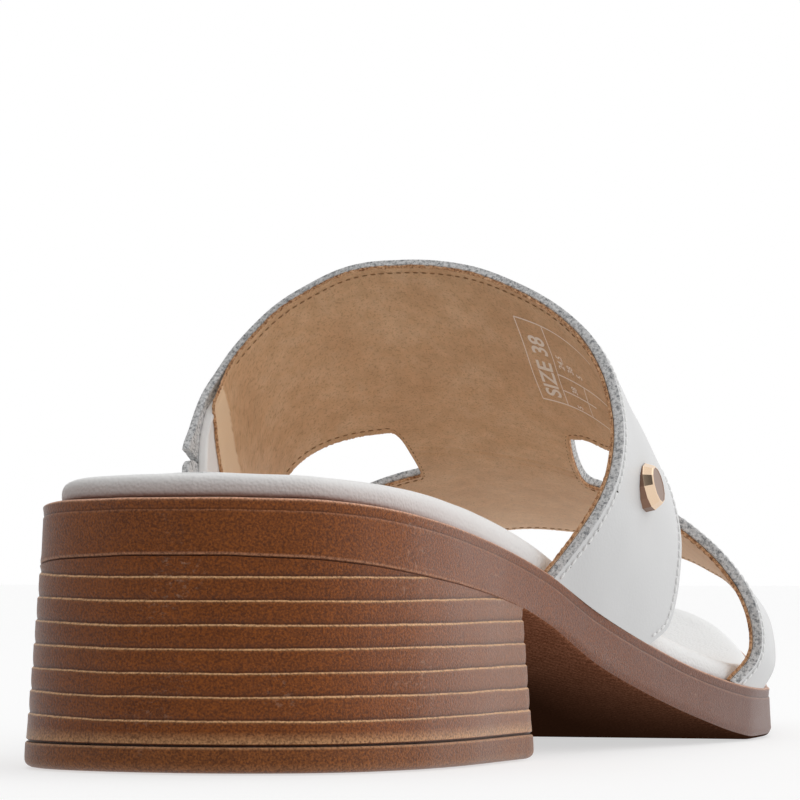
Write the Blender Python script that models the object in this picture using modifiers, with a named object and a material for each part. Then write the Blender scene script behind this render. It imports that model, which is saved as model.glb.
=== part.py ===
"""Slide sandal for the right foot: an H-shaped leather upper on a padded insole, a unit sole
and a stacked block heel. Blender 4.5, metres, +Z up. +Y runs from heel to toe, +X to the
outer (lateral) side, and z = 0 is the floor that the heel and the forefoot stand on.

Tables are in millimetres and are turned to metres where a mesh is made.
"""

import math

import bmesh
import bpy
import numpy as np
from mathutils import Vector

MM = 0.001

# ---------------------------------------------------------------- driving dimensions (mm)
SOLE_LENGTH = 249.0
HEEL_HEIGHT = 30.8  # underside of the sole at the back of the heel
HEEL_BREAST = 63.0  # front face of the heel block, from the back of the heel
HEEL_FLARE = 0.078  # outward growth of the heel for each millimetre down
HEEL_INSET = 0.05  # of the heel's top edge, from the sole's outline
BREAST_CHAMFER = 1.2
GROOVE = 0.5  # depth of each groove between the heel's layers
TOP_LIFT = 3.8  # height of the wearing piece under the heel
LAYER_LINES = (27.8, 24.4, 21.0, 17.6, 14.2, 10.8, 7.4)  # joints of the heel's stack
INSOLE_INSET = 3.1  # insole edge, in from the sole's top edge
UPPER_INSET = 0.5  # outer face of the straps, in from the sole's top edge
LEATHER = 2.2  # wall of the upper, lining included
ELASTIC = 1.2
STUD_RADIUS = 3.7
STUD_HEIGHT = 2.1
SEAT = 0.3  # clearance between pieces that lie on each other
MIDDLE = (1.1, 123.4)  # x and y of the middle of the whole sandal, which becomes the origin

# Sides of the sole and of the insole, bottom to top: inset from the outline, and share of the
# height. The sole flares a little to a bead at its bottom, and a groove runs under its lip.
SOLE_SIDE = (
    (0.95, 0.0),
    (0.25, 0.03),
    (-0.1, 0.09),
    (0.15, 0.14),
    (0.5, 0.74),
    (0.9, 0.78),
    (0.75, 0.93),
    (0.25, 0.965),
    (0.65, 1.0),
)
INSOLE_SIDE = ((0.7, 0.0), (0.1, 0.1), (0.0, 0.4), (0.25, 0.7), (0.9, 0.9), (2.2, 1.0))

# Outline and heights of the sole along the foot, and the thickness of the pad over it.
#  y      inner x  outer x  top z   bottom z  pad
SOLE = (
    (0.0, 0.0, 0.0, 39.2, 30.8, 3.3),
    (0.5, -7.0, 4.7, 39.2, 30.8, 3.3),
    (2.0, -13.6, 10.0, 39.1, 30.6, 3.3),
    (6.0, -21.8, 17.5, 38.9, 30.25, 3.3),
    (10.0, -25.9, 21.4, 38.5, 29.75, 3.4),
    (13.0, -27.6, 23.3, 38.2, 29.4, 3.5),
    (24.0, -30.9, 27.6, 36.8, 27.9, 4.1),
    (38.0, -33.0, 29.6, 34.9, 26.3, 4.7),
    (58.0, -32.2, 30.4, 32.0, 23.7, 5.1),
    (75.0, -29.6, 32.2, 28.15, 19.65, 5.2),
    (92.0, -28.0, 35.0, 22.2, 13.2, 5.1),
    (110.0, -28.8, 38.5, 16.8, 8.0, 4.8),
    (128.0, -32.0, 41.8, 12.4, 3.8, 4.4),
    (145.0, -36.5, 44.4, 9.6, 0.7, 4.1),
    (152.0, -38.6, 45.0, 8.9, 0.0, 4.0),
    (165.0, -41.8, 44.2, 8.4, 0.0, 3.9),
    (182.0, -44.0, 40.0, 8.4, 0.0, 3.8),
    (205.0, -43.0, 33.2, 10.1, 1.7, 3.7),
    (222.0, -39.0, 26.3, 12.7, 4.3, 3.6),
    (236.0, -31.5, 18.3, 15.7, 7.3, 3.6),
    (244.5, -21.5, 9.5, 17.8, 9.4, 3.6),
    (247.5, -14.3, 3.2, 18.5, 10.1, 3.6),
    (248.7, -9.3, -1.0, 18.8, 10.4, 3.6),
    (249.0, -5.0, -5.0, 18.9, 10.5, 3.6),
)

# Outer face of the upper: each section is a quarter ellipse on both sides of a ridge, down to
# the widest point of the wall, and then a curve in to the sole's edge.
#  y      ridge x ridge z inner x inner z outer x outer z
LAST = (
    (60.0, -1.0, 106.0, -34.2, 58.0, 39.4, 56.0),
    (80.0, -2.0, 96.0, -34.0, 54.0, 40.0, 50.0),
    (90.0, -2.5, 88.6, -34.0, 52.5, 39.9, 44.8),
    (102.0, -3.0, 80.2, -34.0, 49.0, 40.2, 40.3),
    (110.0, -3.0, 74.2, -34.0, 44.5, 40.6, 36.3),
    (120.0, -3.2, 66.2, -34.4, 38.0, 41.1, 30.3),
    (130.0, -3.5, 58.8, -35.2, 32.5, 42.2, 25.0),
    (140.0, -4.0, 52.9, -36.5, 28.0, 44.8, 19.5),
    (150.0, -4.5, 48.4, -38.6, 25.0, 46.7, 16.0),
    (165.0, -5.5, 44.0, -42.4, 20.0, 45.6, 13.0),
    (187.0, -7.0, 38.6, -45.3, 16.5, 40.6, 12.0),
    (200.0, -8.0, 35.4, -45.0, 16.0, 37.0, 12.5),
)

# Cut lines of the upper. s runs over the wall from the ridge (0) down to the sole (1), and the
# columns give how far forward each cut lies there: the collar, the two edges of the side
# opening between the legs, and the toe edge.
#  s     collar  slot back  slot front  toe edge
OUTER_CUTS = (
    (0.00, 103.0, 138.0, 153.0, 190.0),
    (0.12, 102.6, 138.0, 153.0, 189.8),
    (0.26, 101.5, 136.6, 153.4, 189.0),
    (0.30, 101.0, 134.5, 153.6, 188.5),
    (0.35, 100.2, 132.3, 153.4, 187.8),
    (0.40, 99.4, 131.4, 153.0, 186.8),
    (0.46, 98.1, 127.6, 152.5, 185.3),
    (0.56, 95.0, 122.6, 151.8, 181.4),
    (0.69, 89.6, 119.8, 151.0, 173.6),
    (0.77, 86.0, 119.0, 150.8, 169.2),
    (0.86, 82.0, 118.0, 150.4, 165.0),
    (0.94, 78.8, 115.8, 148.6, 163.0),
    (1.00, 76.5, 110.0, 145.2, 162.0),
)
INNER_CUTS = (
    (0.00, 103.0, 138.0, 153.0, 190.0),
    (0.10, 102.8, 136.8, 153.0, 190.4),
    (0.18, 102.9, 135.4, 152.6, 190.6),
    (0.32, 101.7, 131.8, 151.6, 190.0),
    (0.46, 98.5, 128.3, 150.4, 188.4),
    (0.56, 93.9, 125.6, 149.8, 186.0),
    (0.64, 89.9, 123.2, 149.4, 183.6),
    (0.71, 85.8, 121.2, 149.2, 181.0),
    (0.80, 83.4, 118.2, 148.8, 178.0),
    (0.90, 81.4, 114.6, 148.0, 175.2),
    (1.00, 79.6, 111.0, 146.4, 173.0),
)
# The upper end of each side opening: its s, where it is highest from 0 at its back to 1 at its
# front, then the span in s over which its back corner and its front corner are rounded, and how
# square each corner is (1 is a straight slope, 2 is round).
OUTER_SLOT_END = (0.272, 0.72, 0.026, 1.5, 0.02, 2.5)
INNER_SLOT_END = (0.155, 0.35, 0.03, 3.0, 0.03, 3.0)

# The inner leg of the rear band is cut in two, and an elastic inside joins the parts.
# s of each cut at the collar side and at the front edge of the leg.
BAND_END = (0.708, 0.735)
TAB_TOP = (0.72, 0.785)
TAB_CORNER = 3.0  # radius of its two upper corners, and the span in s over which they curve
TAB_ROUNDING = 0.04
ELASTIC_TOP = 0.56
ELASTIC_BACK = 83.0  # y of its free edge at the insole, and of its stitched edge
ELASTIC_FRONT = 104.0
ELASTIC_LEAN = 11.5  # how much further forward it stands at its top
STUD_PLACE = (0.74, 101.0)  # s and y on the outer leg


# ---------------------------------------------------------------- shared helpers
def column(table, index):
    """A smooth function through one column of a table, with no overshoot between rows."""
    rows = np.array(table, float)
    x = rows[:, 0]
    v = rows[:, index]
    step = np.diff(x)
    rise = np.diff(v) / step
    slope = np.zeros(len(x))
    same = rise[:-1] * rise[1:] > 0
    w1 = 2 * step[1:] + step[:-1]
    w2 = step[1:] + 2 * step[:-1]
    inner = np.zeros(len(x) - 2)
    inner[same] = (w1 + w2)[same] / (w1[same] / rise[:-1][same] + w2[same] / rise[1:][same])
    slope[1:-1] = inner
    slope[0] = rise[0]
    slope[-1] = rise[-1]

    def value(at):
        at = min(max(at, x[0]), x[-1])
        i = min(int(np.searchsorted(x, at, "right")) - 1, len(x) - 2)
        t = (at - x[i]) / step[i]
        h = step[i]
        return (
            v[i] * (1 + 2 * t) * (1 - t) ** 2
            + slope[i] * h * t * (1 - t) ** 2
            + v[i + 1] * t * t * (3 - 2 * t)
            - slope[i + 1] * h * t * t * (1 - t)
        )

    return value


inner_edge = column(SOLE, 1)
outer_edge = column(SOLE, 2)
sole_top = column(SOLE, 3)
sole_bottom = column(SOLE, 4)
pad_height = column(SOLE, 5)


def make_material(name, rgb, roughness, metallic=0.0):
    material = bpy.data.materials.new(name)
    material.use_nodes = True
    shader = material.node_tree.nodes["Principled BSDF"]
    shader.inputs["Base Color"].default_value = (*rgb, 1.0)
    shader.inputs["Roughness"].default_value = roughness
    shader.inputs["Metallic"].default_value = metallic
    return material


def add_object(name, points, faces, collection, material=None):
    """A mesh object from points in millimetres."""
    mesh = bpy.data.meshes.new(name)
    mesh.from_pydata([Vector(p) * MM for p in points], [], faces)
    mesh.update()
    if material:
        mesh.materials.append(material)
        mesh.shade_smooth()
        mesh.set_sharp_from_angle(angle=math.radians(32))
    obj = bpy.data.objects.new(name, mesh)
    collection.objects.link(obj)
    return obj


def centre_on_origin(collection):
    """Parents the objects to an empty that brings the middle of the sandal over the origin."""
    middle = bpy.data.objects.new("middle", None)
    middle.location = (-MIDDLE[0] * MM, -MIDDLE[1] * MM, 0.0)
    for obj in collection.objects:
        obj.parent = middle
    collection.objects.link(middle)


def offset_loop(points, distance):
    """A closed plan outline moved inward by distance, and outward where that is negative."""
    loop = np.array(points, float)
    along = np.roll(loop, -1, axis=0) - np.roll(loop, 1, axis=0)
    along /= np.linalg.norm(along, axis=1)[:, None]
    inward = np.column_stack([-along[:, 1], along[:, 0]])
    return loop + inward * distance


def paired_loop(last_y, count):
    """Plan outline of the sole up to last_y: out along the outer side, back along the inner.

    Points i and -i share one y, so a cap can be closed with straight strips across.
    """
    full = last_y >= SOLE_LENGTH
    turn = math.pi if full else math.pi / 2
    reach = last_y / 2 if full else last_y
    stations = [reach * (1 - math.cos(turn * i / count)) for i in range(count + 1)]
    outer = [(outer_edge(y), y) for y in stations]
    inner = [(inner_edge(y), y) for y in stations]
    inner = inner[1:-1] if full else inner[1:]
    return np.array(outer + inner[::-1])


def stack(rings):
    """Points and faces of a closed body through rings of equal count, with strips as caps."""
    count = len(rings[0])
    points = [tuple(p) for ring in rings for p in ring]
    faces = []
    for level in range(len(rings) - 1):
        low = level * count
        high = low + count
        for i in range(count):
            j = (i + 1) % count
            faces.append((low + i, low + j, high + j, high + i))
    top = (len(rings) - 1) * count
    for i in range(count // 2):
        corners = list(dict.fromkeys((i, i + 1, count - i - 1, (count - i) % count)))
        faces.append(tuple(reversed(corners)))
        faces.append(tuple(top + k for k in corners))
    return points, faces


# ---------------------------------------------------------------- sole, heel and insole
def build_sole(collection):
    """Unit sole: a lip round the top, a shallow step under it and a bead along the bottom."""
    plan = paired_loop(SOLE_LENGTH, 52)
    rings = []
    for inset, share in SOLE_SIDE:
        loop = offset_loop(plan, inset)
        ring = []
        for (x, y), (_, along) in zip(loop, plan):
            low = sole_bottom(along)
            ring.append((x, y, low + share * (sole_top(along) - low)))
        rings.append(ring)
    points, faces = stack(rings)
    brown = make_material("moulded_sole", (0.2, 0.085, 0.04), 0.45)
    return add_object("sole", points, faces, collection, brown)


def heel_ring(plan, grow, z):
    """One level of the heel: the sole's outline grown outward, flat at the breast."""
    loop = offset_loop(plan, -grow)
    loop[:, 1] = np.minimum(loop[:, 1], HEEL_BREAST)
    return [(x, y, z) for x, y in loop]


def heel_plan():
    """Plan of the heel, with its two corners at the breast cut by a small chamfer."""
    loop = [tuple(p) for p in paired_loop(HEEL_BREAST, 20)]
    half = len(loop) // 2
    outer = loop[:half]
    inner = loop[half + 2 :]
    outer.append((outer_edge(HEEL_BREAST), HEEL_BREAST - BREAST_CHAMFER))
    outer.append((outer_edge(HEEL_BREAST) - BREAST_CHAMFER, HEEL_BREAST))
    inner.insert(0, (inner_edge(HEEL_BREAST), HEEL_BREAST - BREAST_CHAMFER))
    inner.insert(0, (inner_edge(HEEL_BREAST) + BREAST_CHAMFER, HEEL_BREAST))
    return np.array(outer + inner)


def build_heel(collection, cutters):
    """Stacked block: flared sides with a groove at each layer, cut to the sole's underside."""
    plan = heel_plan()
    foot = TOP_LIFT + SEAT / 2
    levels = [(foot, 0.3), (foot + 0.3, 0.0)]
    for line in reversed(LAYER_LINES):
        levels += [(line - 0.32, 0.0), (line, GROOVE), (line + 0.12, 0.0)]
    levels.append((HEEL_HEIGHT + 2.0, 0.0))
    rings = []
    for z, depth in levels:
        rings.append(heel_ring(plan, HEEL_FLARE * (HEEL_HEIGHT - z) - HEEL_INSET - depth, z))
    points, faces = stack(rings)
    brown = make_material("stacked_heel", (0.22, 0.095, 0.045), 0.42)
    heel = add_object("heel", points, faces, collection, brown)

    # The cutter fills all above the underside of the sole, less the seat.
    reach = 60.0
    stations = np.linspace(-8.0, HEEL_BREAST + 8.0, 36)
    side = [(y, sole_bottom(y) - SEAT) for y in stations]
    side += [(stations[-1], reach), (stations[0], reach)]
    count = len(side)
    points = [(-reach, y, z) for y, z in side] + [(reach, y, z) for y, z in side]
    faces = [tuple(range(count)), tuple(reversed(range(count, 2 * count)))]
    for i in range(count):
        j = (i + 1) % count
        faces.append((i, count + i, count + j, j))
    cutter = add_object("heel_seat_cutter", points, faces, cutters)
    recalculate(cutter)
    cutter.hide_render = True
    cutter.display_type = "WIRE"
    cut = heel.modifiers.new("seat", "BOOLEAN")
    cut.operation = "DIFFERENCE"
    cut.object = cutter
    return heel


def recalculate(obj):
    """Turns all faces of a closed mesh outward."""
    work = bmesh.new()
    work.from_mesh(obj.data)
    bmesh.ops.recalc_face_normals(work, faces=work.faces)
    work.to_mesh(obj.data)
    work.free()


def build_top_lift(collection):
    """Wearing piece under the heel, with a bevelled lower edge."""
    plan = heel_plan()
    grow = HEEL_FLARE * HEEL_HEIGHT
    top = TOP_LIFT - SEAT / 2
    levels = ((0.0, grow - 0.9), (0.55, grow), (top - 0.2, grow - 0.3), (top, grow - 0.5))
    rings = [heel_ring(plan, outward, z) for z, outward in levels]
    points, faces = stack(rings)
    brown = make_material("lift_rubber", (0.24, 0.11, 0.05), 0.5)
    return add_object("top_lift", points, faces, collection, brown)


def build_insole(collection):
    """Padded, wrapped insole that follows the top of the sole, with rounded edges."""
    plan = paired_loop(SOLE_LENGTH, 40)
    rings = []
    for inset, share in INSOLE_SIDE:
        ring = []
        for (x, y), (_, along) in zip(offset_loop(plan, INSOLE_INSET + inset), plan):
            ring.append((x, y, sole_top(along) + SEAT + share * pad_height(along)))
        rings.append(ring)
    points, faces = stack(rings)
    white = make_material("insole_cover", (0.78, 0.78, 0.77), 0.5)
    return add_object("insole", points, faces, collection, white)


# ---------------------------------------------------------------- upper
ridge_x, ridge_z, inner_x, inner_z, outer_x, outer_z = (column(LAST, k) for k in range(1, 7))
outer_cut = [column(OUTER_CUTS, k) for k in range(1, 5)]
inner_cut = [column(INNER_CUTS, k) for k in range(1, 5)]
ARC_STEPS = 40
WALL_STEPS = 16


def section(y, side):
    """Half a section of the upper's outer face at y, from the ridge down to the sole's edge.

    Returns the points (x, z) and the length along them. side is +1 for the outer side.
    """
    wide_x, wide_z = (outer_x(y), outer_z(y)) if side > 0 else (inner_x(y), inner_z(y))
    foot_x = outer_edge(y) - UPPER_INSET if side > 0 else inner_edge(y) + UPPER_INSET
    foot_z = sole_top(y) + SEAT
    turn = np.linspace(0, math.pi / 2, ARC_STEPS)
    arc_x = ridge_x(y) + (wide_x - ridge_x(y)) * np.sin(turn)
    arc_z = wide_z + (ridge_z(y) - wide_z) * np.cos(turn)
    down = np.linspace(0, 1, WALL_STEPS)[1:]
    wall_x = foot_x + (wide_x - foot_x) * np.cos(down * math.pi / 2)
    wall_z = wide_z + (foot_z - wide_z) * down
    x = np.concatenate([arc_x, wall_x])
    z = np.concatenate([arc_z, wall_z])
    length = np.concatenate([[0.0], np.cumsum(np.hypot(np.diff(x), np.diff(z)))])
    return x, z, length


def wall_point(s, y, side, depth=0.0):
    """The point at s over the section at y, sunk by depth below the outer face."""
    x, z, length = section(y, side)
    at = s * length[-1]
    px = float(np.interp(at, length, x))
    pz = float(np.interp(at, length, z))
    if depth:
        ahead = min(at + 0.5, length[-1])
        behind = max(at - 0.5, 0.0)
        dx = float(np.interp(ahead, length, x) - np.interp(behind, length, x))
        dz = float(np.interp(ahead, length, z) - np.interp(behind, length, z))
        size = math.hypot(dx, dz)
        px += depth * side * dz / size
        pz -= depth * side * dx / size
    return px, y, pz


def slot_edges(s, side):
    """Back and front edge of the side opening at s. Both are the same above its round end."""
    cuts = outer_cut if side > 0 else inner_cut
    start, crown, *corners = OUTER_SLOT_END if side > 0 else INNER_SLOT_END
    back = cuts[1](s)
    front = cuts[2](s)
    top = back + (front - back) * (0.5 + (crown - 0.5) * min(s / start, 1.0))
    opened = []
    for span, square in (corners[:2], corners[2:]):
        share = min(max((s - start) / span, 0.0), 1.0)
        opened.append((1 - (1 - share) ** square) ** (1 / square))
    return top - (top - back) * opened[0], top + (front - top) * opened[1]


def columns_of(side):
    """Values of s from the ridge to the sole, close together round the slot's upper end."""
    start, _, _, _, span, _ = OUTER_SLOT_END if side > 0 else INNER_SLOT_END
    bridge = [start * i / 4 for i in range(4)]
    rounding = [start + span * (1 - math.cos(math.pi / 2 * i / 5)) for i in range(6)]
    first = rounding[-1]
    rest = [first + (1 - first) * i / 13 for i in range(1, 14)]
    return bridge + rounding + rest


REAR_ROWS = 9
FRONT_ROWS = 8
HELD_SPAN = 0.33  # columns above this s keep their place where a leg's end is slanted


def add_quad(faces, corners, side):
    """One face of the wall, turned outward, as a triangle where two corners meet."""
    corners = tuple(dict.fromkeys(corners if side < 0 else corners[::-1]))
    if len(corners) > 2:
        faces.append(corners)


def add_band(points, faces, found, side, values, edges, rows, ends):
    """Faces of one half of a band. edges(s) gives its back and front edge, and ends the s at
    which it stops along its back and its front edge."""
    grid = []
    for value in values:
        line = []
        for row in range(rows + 1):
            share = row / rows
            end = ends[0] + (ends[1] - ends[0]) * share
            s = value
            if value > HELD_SPAN:
                s = HELD_SPAN + (value - HELD_SPAN) * (end - HELD_SPAN) / (1 - HELD_SPAN)
            back, front = edges(s)
            place = wall_point(s, back + (front - back) * share, side)
            key = tuple(round(c, 4) for c in place)
            if key not in found:
                found[key] = len(points)
                points.append(place)
            line.append(found[key])
        grid.append(line)
    for a, b in zip(grid, grid[1:]):
        for row in range(rows):
            add_quad(faces, (a[row], a[row + 1], b[row + 1], b[row]), side)


def solidify(obj, thickness):
    """Gives an open surface its wall, on the inner side of its faces."""
    wall = obj.modifiers.new("wall", "SOLIDIFY")
    wall.thickness = thickness * MM
    wall.offset = -1.0


def build_upper(collection, leather):
    """H-shaped upper: a wide rear band, a bridge and a front band in one wall."""
    points = []
    faces = []
    found = {}
    for side, ends in ((1, (1.0, 1.0)), (-1, BAND_END)):
        cuts = outer_cut if side > 0 else inner_cut
        values = columns_of(side)

        def rear_edges(s):
            return cuts[0](s), slot_edges(s, side)[0]

        def front_edges(s):
            return slot_edges(s, side)[1], cuts[3](s)

        add_band(points, faces, found, side, values, rear_edges, REAR_ROWS, ends)
        add_band(points, faces, found, side, values, front_edges, FRONT_ROWS, (1.0, 1.0))
    upper = add_object("upper", points, faces, collection, leather)
    solidify(upper, LEATHER)
    return upper


def build_inner_tab(collection, leather):
    """Lower part of the inner rear leg: it rises from the sole to a rounded upper end."""
    middle = (TAB_TOP[0] + TAB_TOP[1]) / 2

    def edges(s):
        share = min(max((s - middle) / TAB_ROUNDING, 0.0), 1.0)
        pulled = TAB_CORNER * (1 - math.sqrt(1 - (1 - share) ** 2))
        return inner_cut[0](s) + pulled, inner_cut[1](s) - pulled

    points = []
    faces = []
    rows = 7
    steps = [TAB_ROUNDING * (1 - math.cos(math.pi / 4 * i)) for i in range(2)]
    steps += [TAB_ROUNDING + (1 - TAB_ROUNDING) * i / 6 for i in range(7)]
    grid = []
    for step in steps:
        line = []
        for row in range(rows + 1):
            share = row / rows
            top = TAB_TOP[0] + (TAB_TOP[1] - TAB_TOP[0]) * share
            s = top + (1 - top) * step
            back, front = edges(middle + (1 - middle) * step)
            line.append(len(points))
            points.append(wall_point(s, back + (front - back) * share, -1))
        grid.append(line)
    for a, b in zip(grid, grid[1:]):
        for row in range(rows):
            add_quad(faces, (a[row], a[row + 1], b[row + 1], b[row]), -1)
    tab = add_object("inner_leg_tab", points, faces, collection, leather)
    solidify(tab, LEATHER)
    return tab


def s_at_height(y, side, height):
    """s of the point of the wall at a height."""
    _, z, length = section(y, side)
    return float(np.interp(-height, -z, length)) / length[-1]


def build_elastic(collection):
    """Elastic inside the cut inner leg: it is stitched to the band and ends at the insole."""
    rows = 6
    columns = 9
    depth = LEATHER + SEAT
    points = []
    faces = []
    for i in range(columns + 1):
        for row in range(rows + 1):
            share = row / rows
            y = ELASTIC_BACK + (ELASTIC_FRONT - ELASTIC_BACK) * share
            low = s_at_height(y, -1, sole_top(y) + pad_height(y) + 3 * SEAT)
            s = ELASTIC_TOP + (low - ELASTIC_TOP) * i / columns
            points.append(wall_point(s, y + ELASTIC_LEAN * (1 - i / columns), -1, depth))
    for i in range(columns):
        for row in range(rows):
            a = i * (rows + 1) + row
            b = a + rows + 1
            add_quad(faces, (a, a + 1, b + 1, b), -1)
    webbing = make_material("elastic", (0.75, 0.73, 0.7), 0.8)
    elastic = add_object("elastic", points, faces, collection, webbing)
    solidify(elastic, ELASTIC)
    return elastic


def build_stud(collection):
    """Eight-sided rivet cap on the outer leg, square to the leather."""
    s, y = STUD_PLACE
    here = Vector(wall_point(s, y, 1))
    along = Vector(wall_point(s, y + 1, 1)) - here
    down = Vector(wall_point(s + 0.01, y, 1)) - here
    out = down.cross(along).normalized()
    if out.x < 0:
        out = -out
    mesh = bpy.data.meshes.new("stud")
    work = bmesh.new()
    bmesh.ops.create_cone(
        work,
        cap_ends=True,
        segments=8,
        radius1=STUD_RADIUS * MM,
        radius2=(STUD_RADIUS - 0.25) * MM,
        depth=STUD_HEIGHT * MM,
    )
    work.to_mesh(mesh)
    work.free()
    mesh.materials.append(make_material("rose_gold", (0.72, 0.43, 0.27), 0.2, 1.0))
    stud = bpy.data.objects.new("stud", mesh)
    collection.objects.link(stud)
    turn = out.to_track_quat("Z", "Y")
    stud.rotation_mode = "QUATERNION"
    stud.rotation_quaternion = turn
    stud.location = (here + out * (SEAT + STUD_HEIGHT / 2)) * MM
    bevel = stud.modifiers.new("edge", "BEVEL")
    bevel.width = 0.25 * MM
    bevel.segments = 2
    return stud


# ---------------------------------------------------------------- assembly
def main():
    for obj in list(bpy.data.objects):
        bpy.data.objects.remove(obj, do_unlink=True)
    sandal = bpy.data.collections.new("block_heel_slide_sandal")
    cutters = bpy.data.collections.new("cutters")
    for collection in (sandal, cutters):
        bpy.context.scene.collection.children.link(collection)
    leather = make_material("white_leather", (0.8, 0.8, 0.79), 0.45)
    build_sole(sandal)
    build_heel(sandal, cutters)
    build_top_lift(sandal)
    build_insole(sandal)
    build_upper(sandal, leather)
    build_inner_tab(sandal, leather)
    build_elastic(sandal)
    build_stud(sandal)
    centre_on_origin(sandal)
    centre_on_origin(cutters)


main()
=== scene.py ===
import math

import bmesh
import bpy
import numpy as np
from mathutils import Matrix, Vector, noise


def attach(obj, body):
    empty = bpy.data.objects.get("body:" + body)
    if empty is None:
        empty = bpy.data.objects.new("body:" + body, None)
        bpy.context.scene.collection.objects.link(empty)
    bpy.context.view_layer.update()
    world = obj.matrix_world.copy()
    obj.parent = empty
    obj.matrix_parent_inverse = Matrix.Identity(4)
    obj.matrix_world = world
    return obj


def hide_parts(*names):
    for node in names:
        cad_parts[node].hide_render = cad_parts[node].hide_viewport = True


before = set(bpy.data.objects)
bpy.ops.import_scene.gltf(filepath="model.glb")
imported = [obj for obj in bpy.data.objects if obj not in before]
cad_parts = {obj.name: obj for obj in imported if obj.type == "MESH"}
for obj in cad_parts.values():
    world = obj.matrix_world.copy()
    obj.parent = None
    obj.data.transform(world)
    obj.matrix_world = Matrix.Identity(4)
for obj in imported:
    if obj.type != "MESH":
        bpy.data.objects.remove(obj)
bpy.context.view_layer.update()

# Slide sandal for the right foot: white leather upper with a tan lining, padded insole, moulded
# sole and stacked block heel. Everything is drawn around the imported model, in its frame: metres,
# +Y from heel to toe, +X to the outer side, +Z up. Sizes are in millimetres.

# ------------------------------------------------------------------------------------- studio
# A white room with a white floor, and two soft boxes that shape the leather and the heel.
# The lens is long and stands low behind the heel, just above the floor.
MM = 0.001


def linear(hexcode):
    """Linear RGBA from an sRGB hex colour."""
    channels = [int(hexcode[i : i + 2], 16) / 255 for i in (1, 3, 5)]
    return (*[c / 12.92 if c <= 0.04045 else ((c + 0.055) / 1.055) ** 2.4 for c in channels], 1.0)


def set_inputs(node, inputs):
    """Gives a node its inputs. Each is a value, a socket, or a node for its first socket in use."""
    for key, value in inputs.items():
        socket = node.inputs[key] if isinstance(key, int) else None
        socket = socket or next(s for s in node.inputs if s.name == key and s.enabled)
        if isinstance(value, bpy.types.Node):
            value = next(s for s in value.outputs if s.enabled)
        if isinstance(value, bpy.types.NodeSocket):
            node.id_data.links.new(value, socket)
        else:
            socket.default_value = value


def add_node(tree, kind, inputs=None, **settings):
    """Adds one node with its settings and inputs. A kind with no "Node" in it is a shader's."""
    made = tree.nodes.new(kind if "Node" in kind else "ShaderNode" + kind)
    for name, value in settings.items():
        setattr(made, name, value)
    set_inputs(made, inputs or {})
    return made


def new_material(name, **sockets):
    """A Principled material with constant values on its sockets, its tree and its shader."""
    material = bpy.data.materials.new(name)
    material.use_nodes = True
    shader = material.node_tree.nodes["Principled BSDF"]
    set_inputs(shader, {name.replace("_", " "): value for name, value in sockets.items()})
    return material, material.node_tree, shader


def area_light(name, place, aim, width, height, watts, colour="#ffffff"):
    light = bpy.data.lights.new(name, "AREA")
    light.shape = "RECTANGLE"
    light.size = width
    light.size_y = height
    light.energy = watts
    light.color = linear(colour)[:3]
    lamp = bpy.data.objects.new(name, light)
    lamp.location = place
    lamp.rotation_euler = (Vector(aim) - Vector(place)).to_track_quat("-Z", "Y").to_euler()
    bpy.context.scene.collection.objects.link(lamp)


LENS_MM = 211.5
CAMERA_PLACE = (0.2401, -0.7476, 0.0294)
CAMERA_TURN = math.radians(18.5)  # to the left of straight ahead
CAMERA_TILT = math.radians(2.02)  # upward

camera = bpy.data.objects.new("camera", bpy.data.cameras.new("camera"))
camera.data.lens = LENS_MM
camera.data.sensor_width = 36.0
camera.data.clip_start = 0.01
camera.location = CAMERA_PLACE
camera.rotation_euler = (math.pi / 2 + CAMERA_TILT, 0.0, CAMERA_TURN)
bpy.context.scene.collection.objects.link(camera)
bpy.context.scene.camera = camera
bpy.context.scene.view_settings.view_transform = "Standard"

# The room is bright above and behind the sandal and dim on the lens's side, so that gloss shows
# only where the sides turn away. What the lens sees of it is plain white.
ROOM_LEVEL = 0.66
ROOM_SLOPE = (0.28, 0.31, 0.22)  # how fast it brightens towards +X, +Y and +Z
ROOM_DARK = 0.15  # what gloss still gets of it from behind the lens
world = bpy.data.worlds.new("white_room")
world.use_nodes = True
tree = world.node_tree
room = add_node(tree, "TexCoord").outputs["Generated"]
slope = add_node(tree, "VectorMath", {0: room, 1: ROOM_SLOPE}, operation="DOT_PRODUCT")
level = add_node(tree, "Math", {0: slope, 1: ROOM_LEVEL}, operation="ADD")
behind = add_node(
    tree, "MapRange",
    {
        "Value": add_node(tree, "SeparateXYZ", {"Vector": room}).outputs["Y"], "From Min": -0.3,
        "From Max": -0.65, "To Min": 1.0, "To Max": ROOM_DARK,
    },
    interpolation_type="SMOOTHSTEP",
)
gloss = add_node(tree, "Math", {0: level, 1: behind}, operation="MULTIPLY")
ray = add_node(tree, "LightPath").outputs
lit = add_node(
    tree, "Mix", {"Factor": ray["Is Glossy Ray"], "A": level, "B": gloss}, data_type="FLOAT"
)
strength = add_node(
    tree, "Mix", {"Factor": ray["Is Camera Ray"], "A": lit, "B": 1.0}, data_type="FLOAT"
)
set_inputs(tree.nodes["Background"], {"Color": linear("#ffffff"), "Strength": strength})
bpy.context.scene.world = world

area_light("key", (0.35, 0.45, 0.95), (0.0, 0.0, 0.04), 0.6, 0.6, 0.42)
area_light("side", (0.95, 0.1, 0.3), (0.0, 0.0, 0.03), 0.3, 0.5, 0.1)

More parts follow.
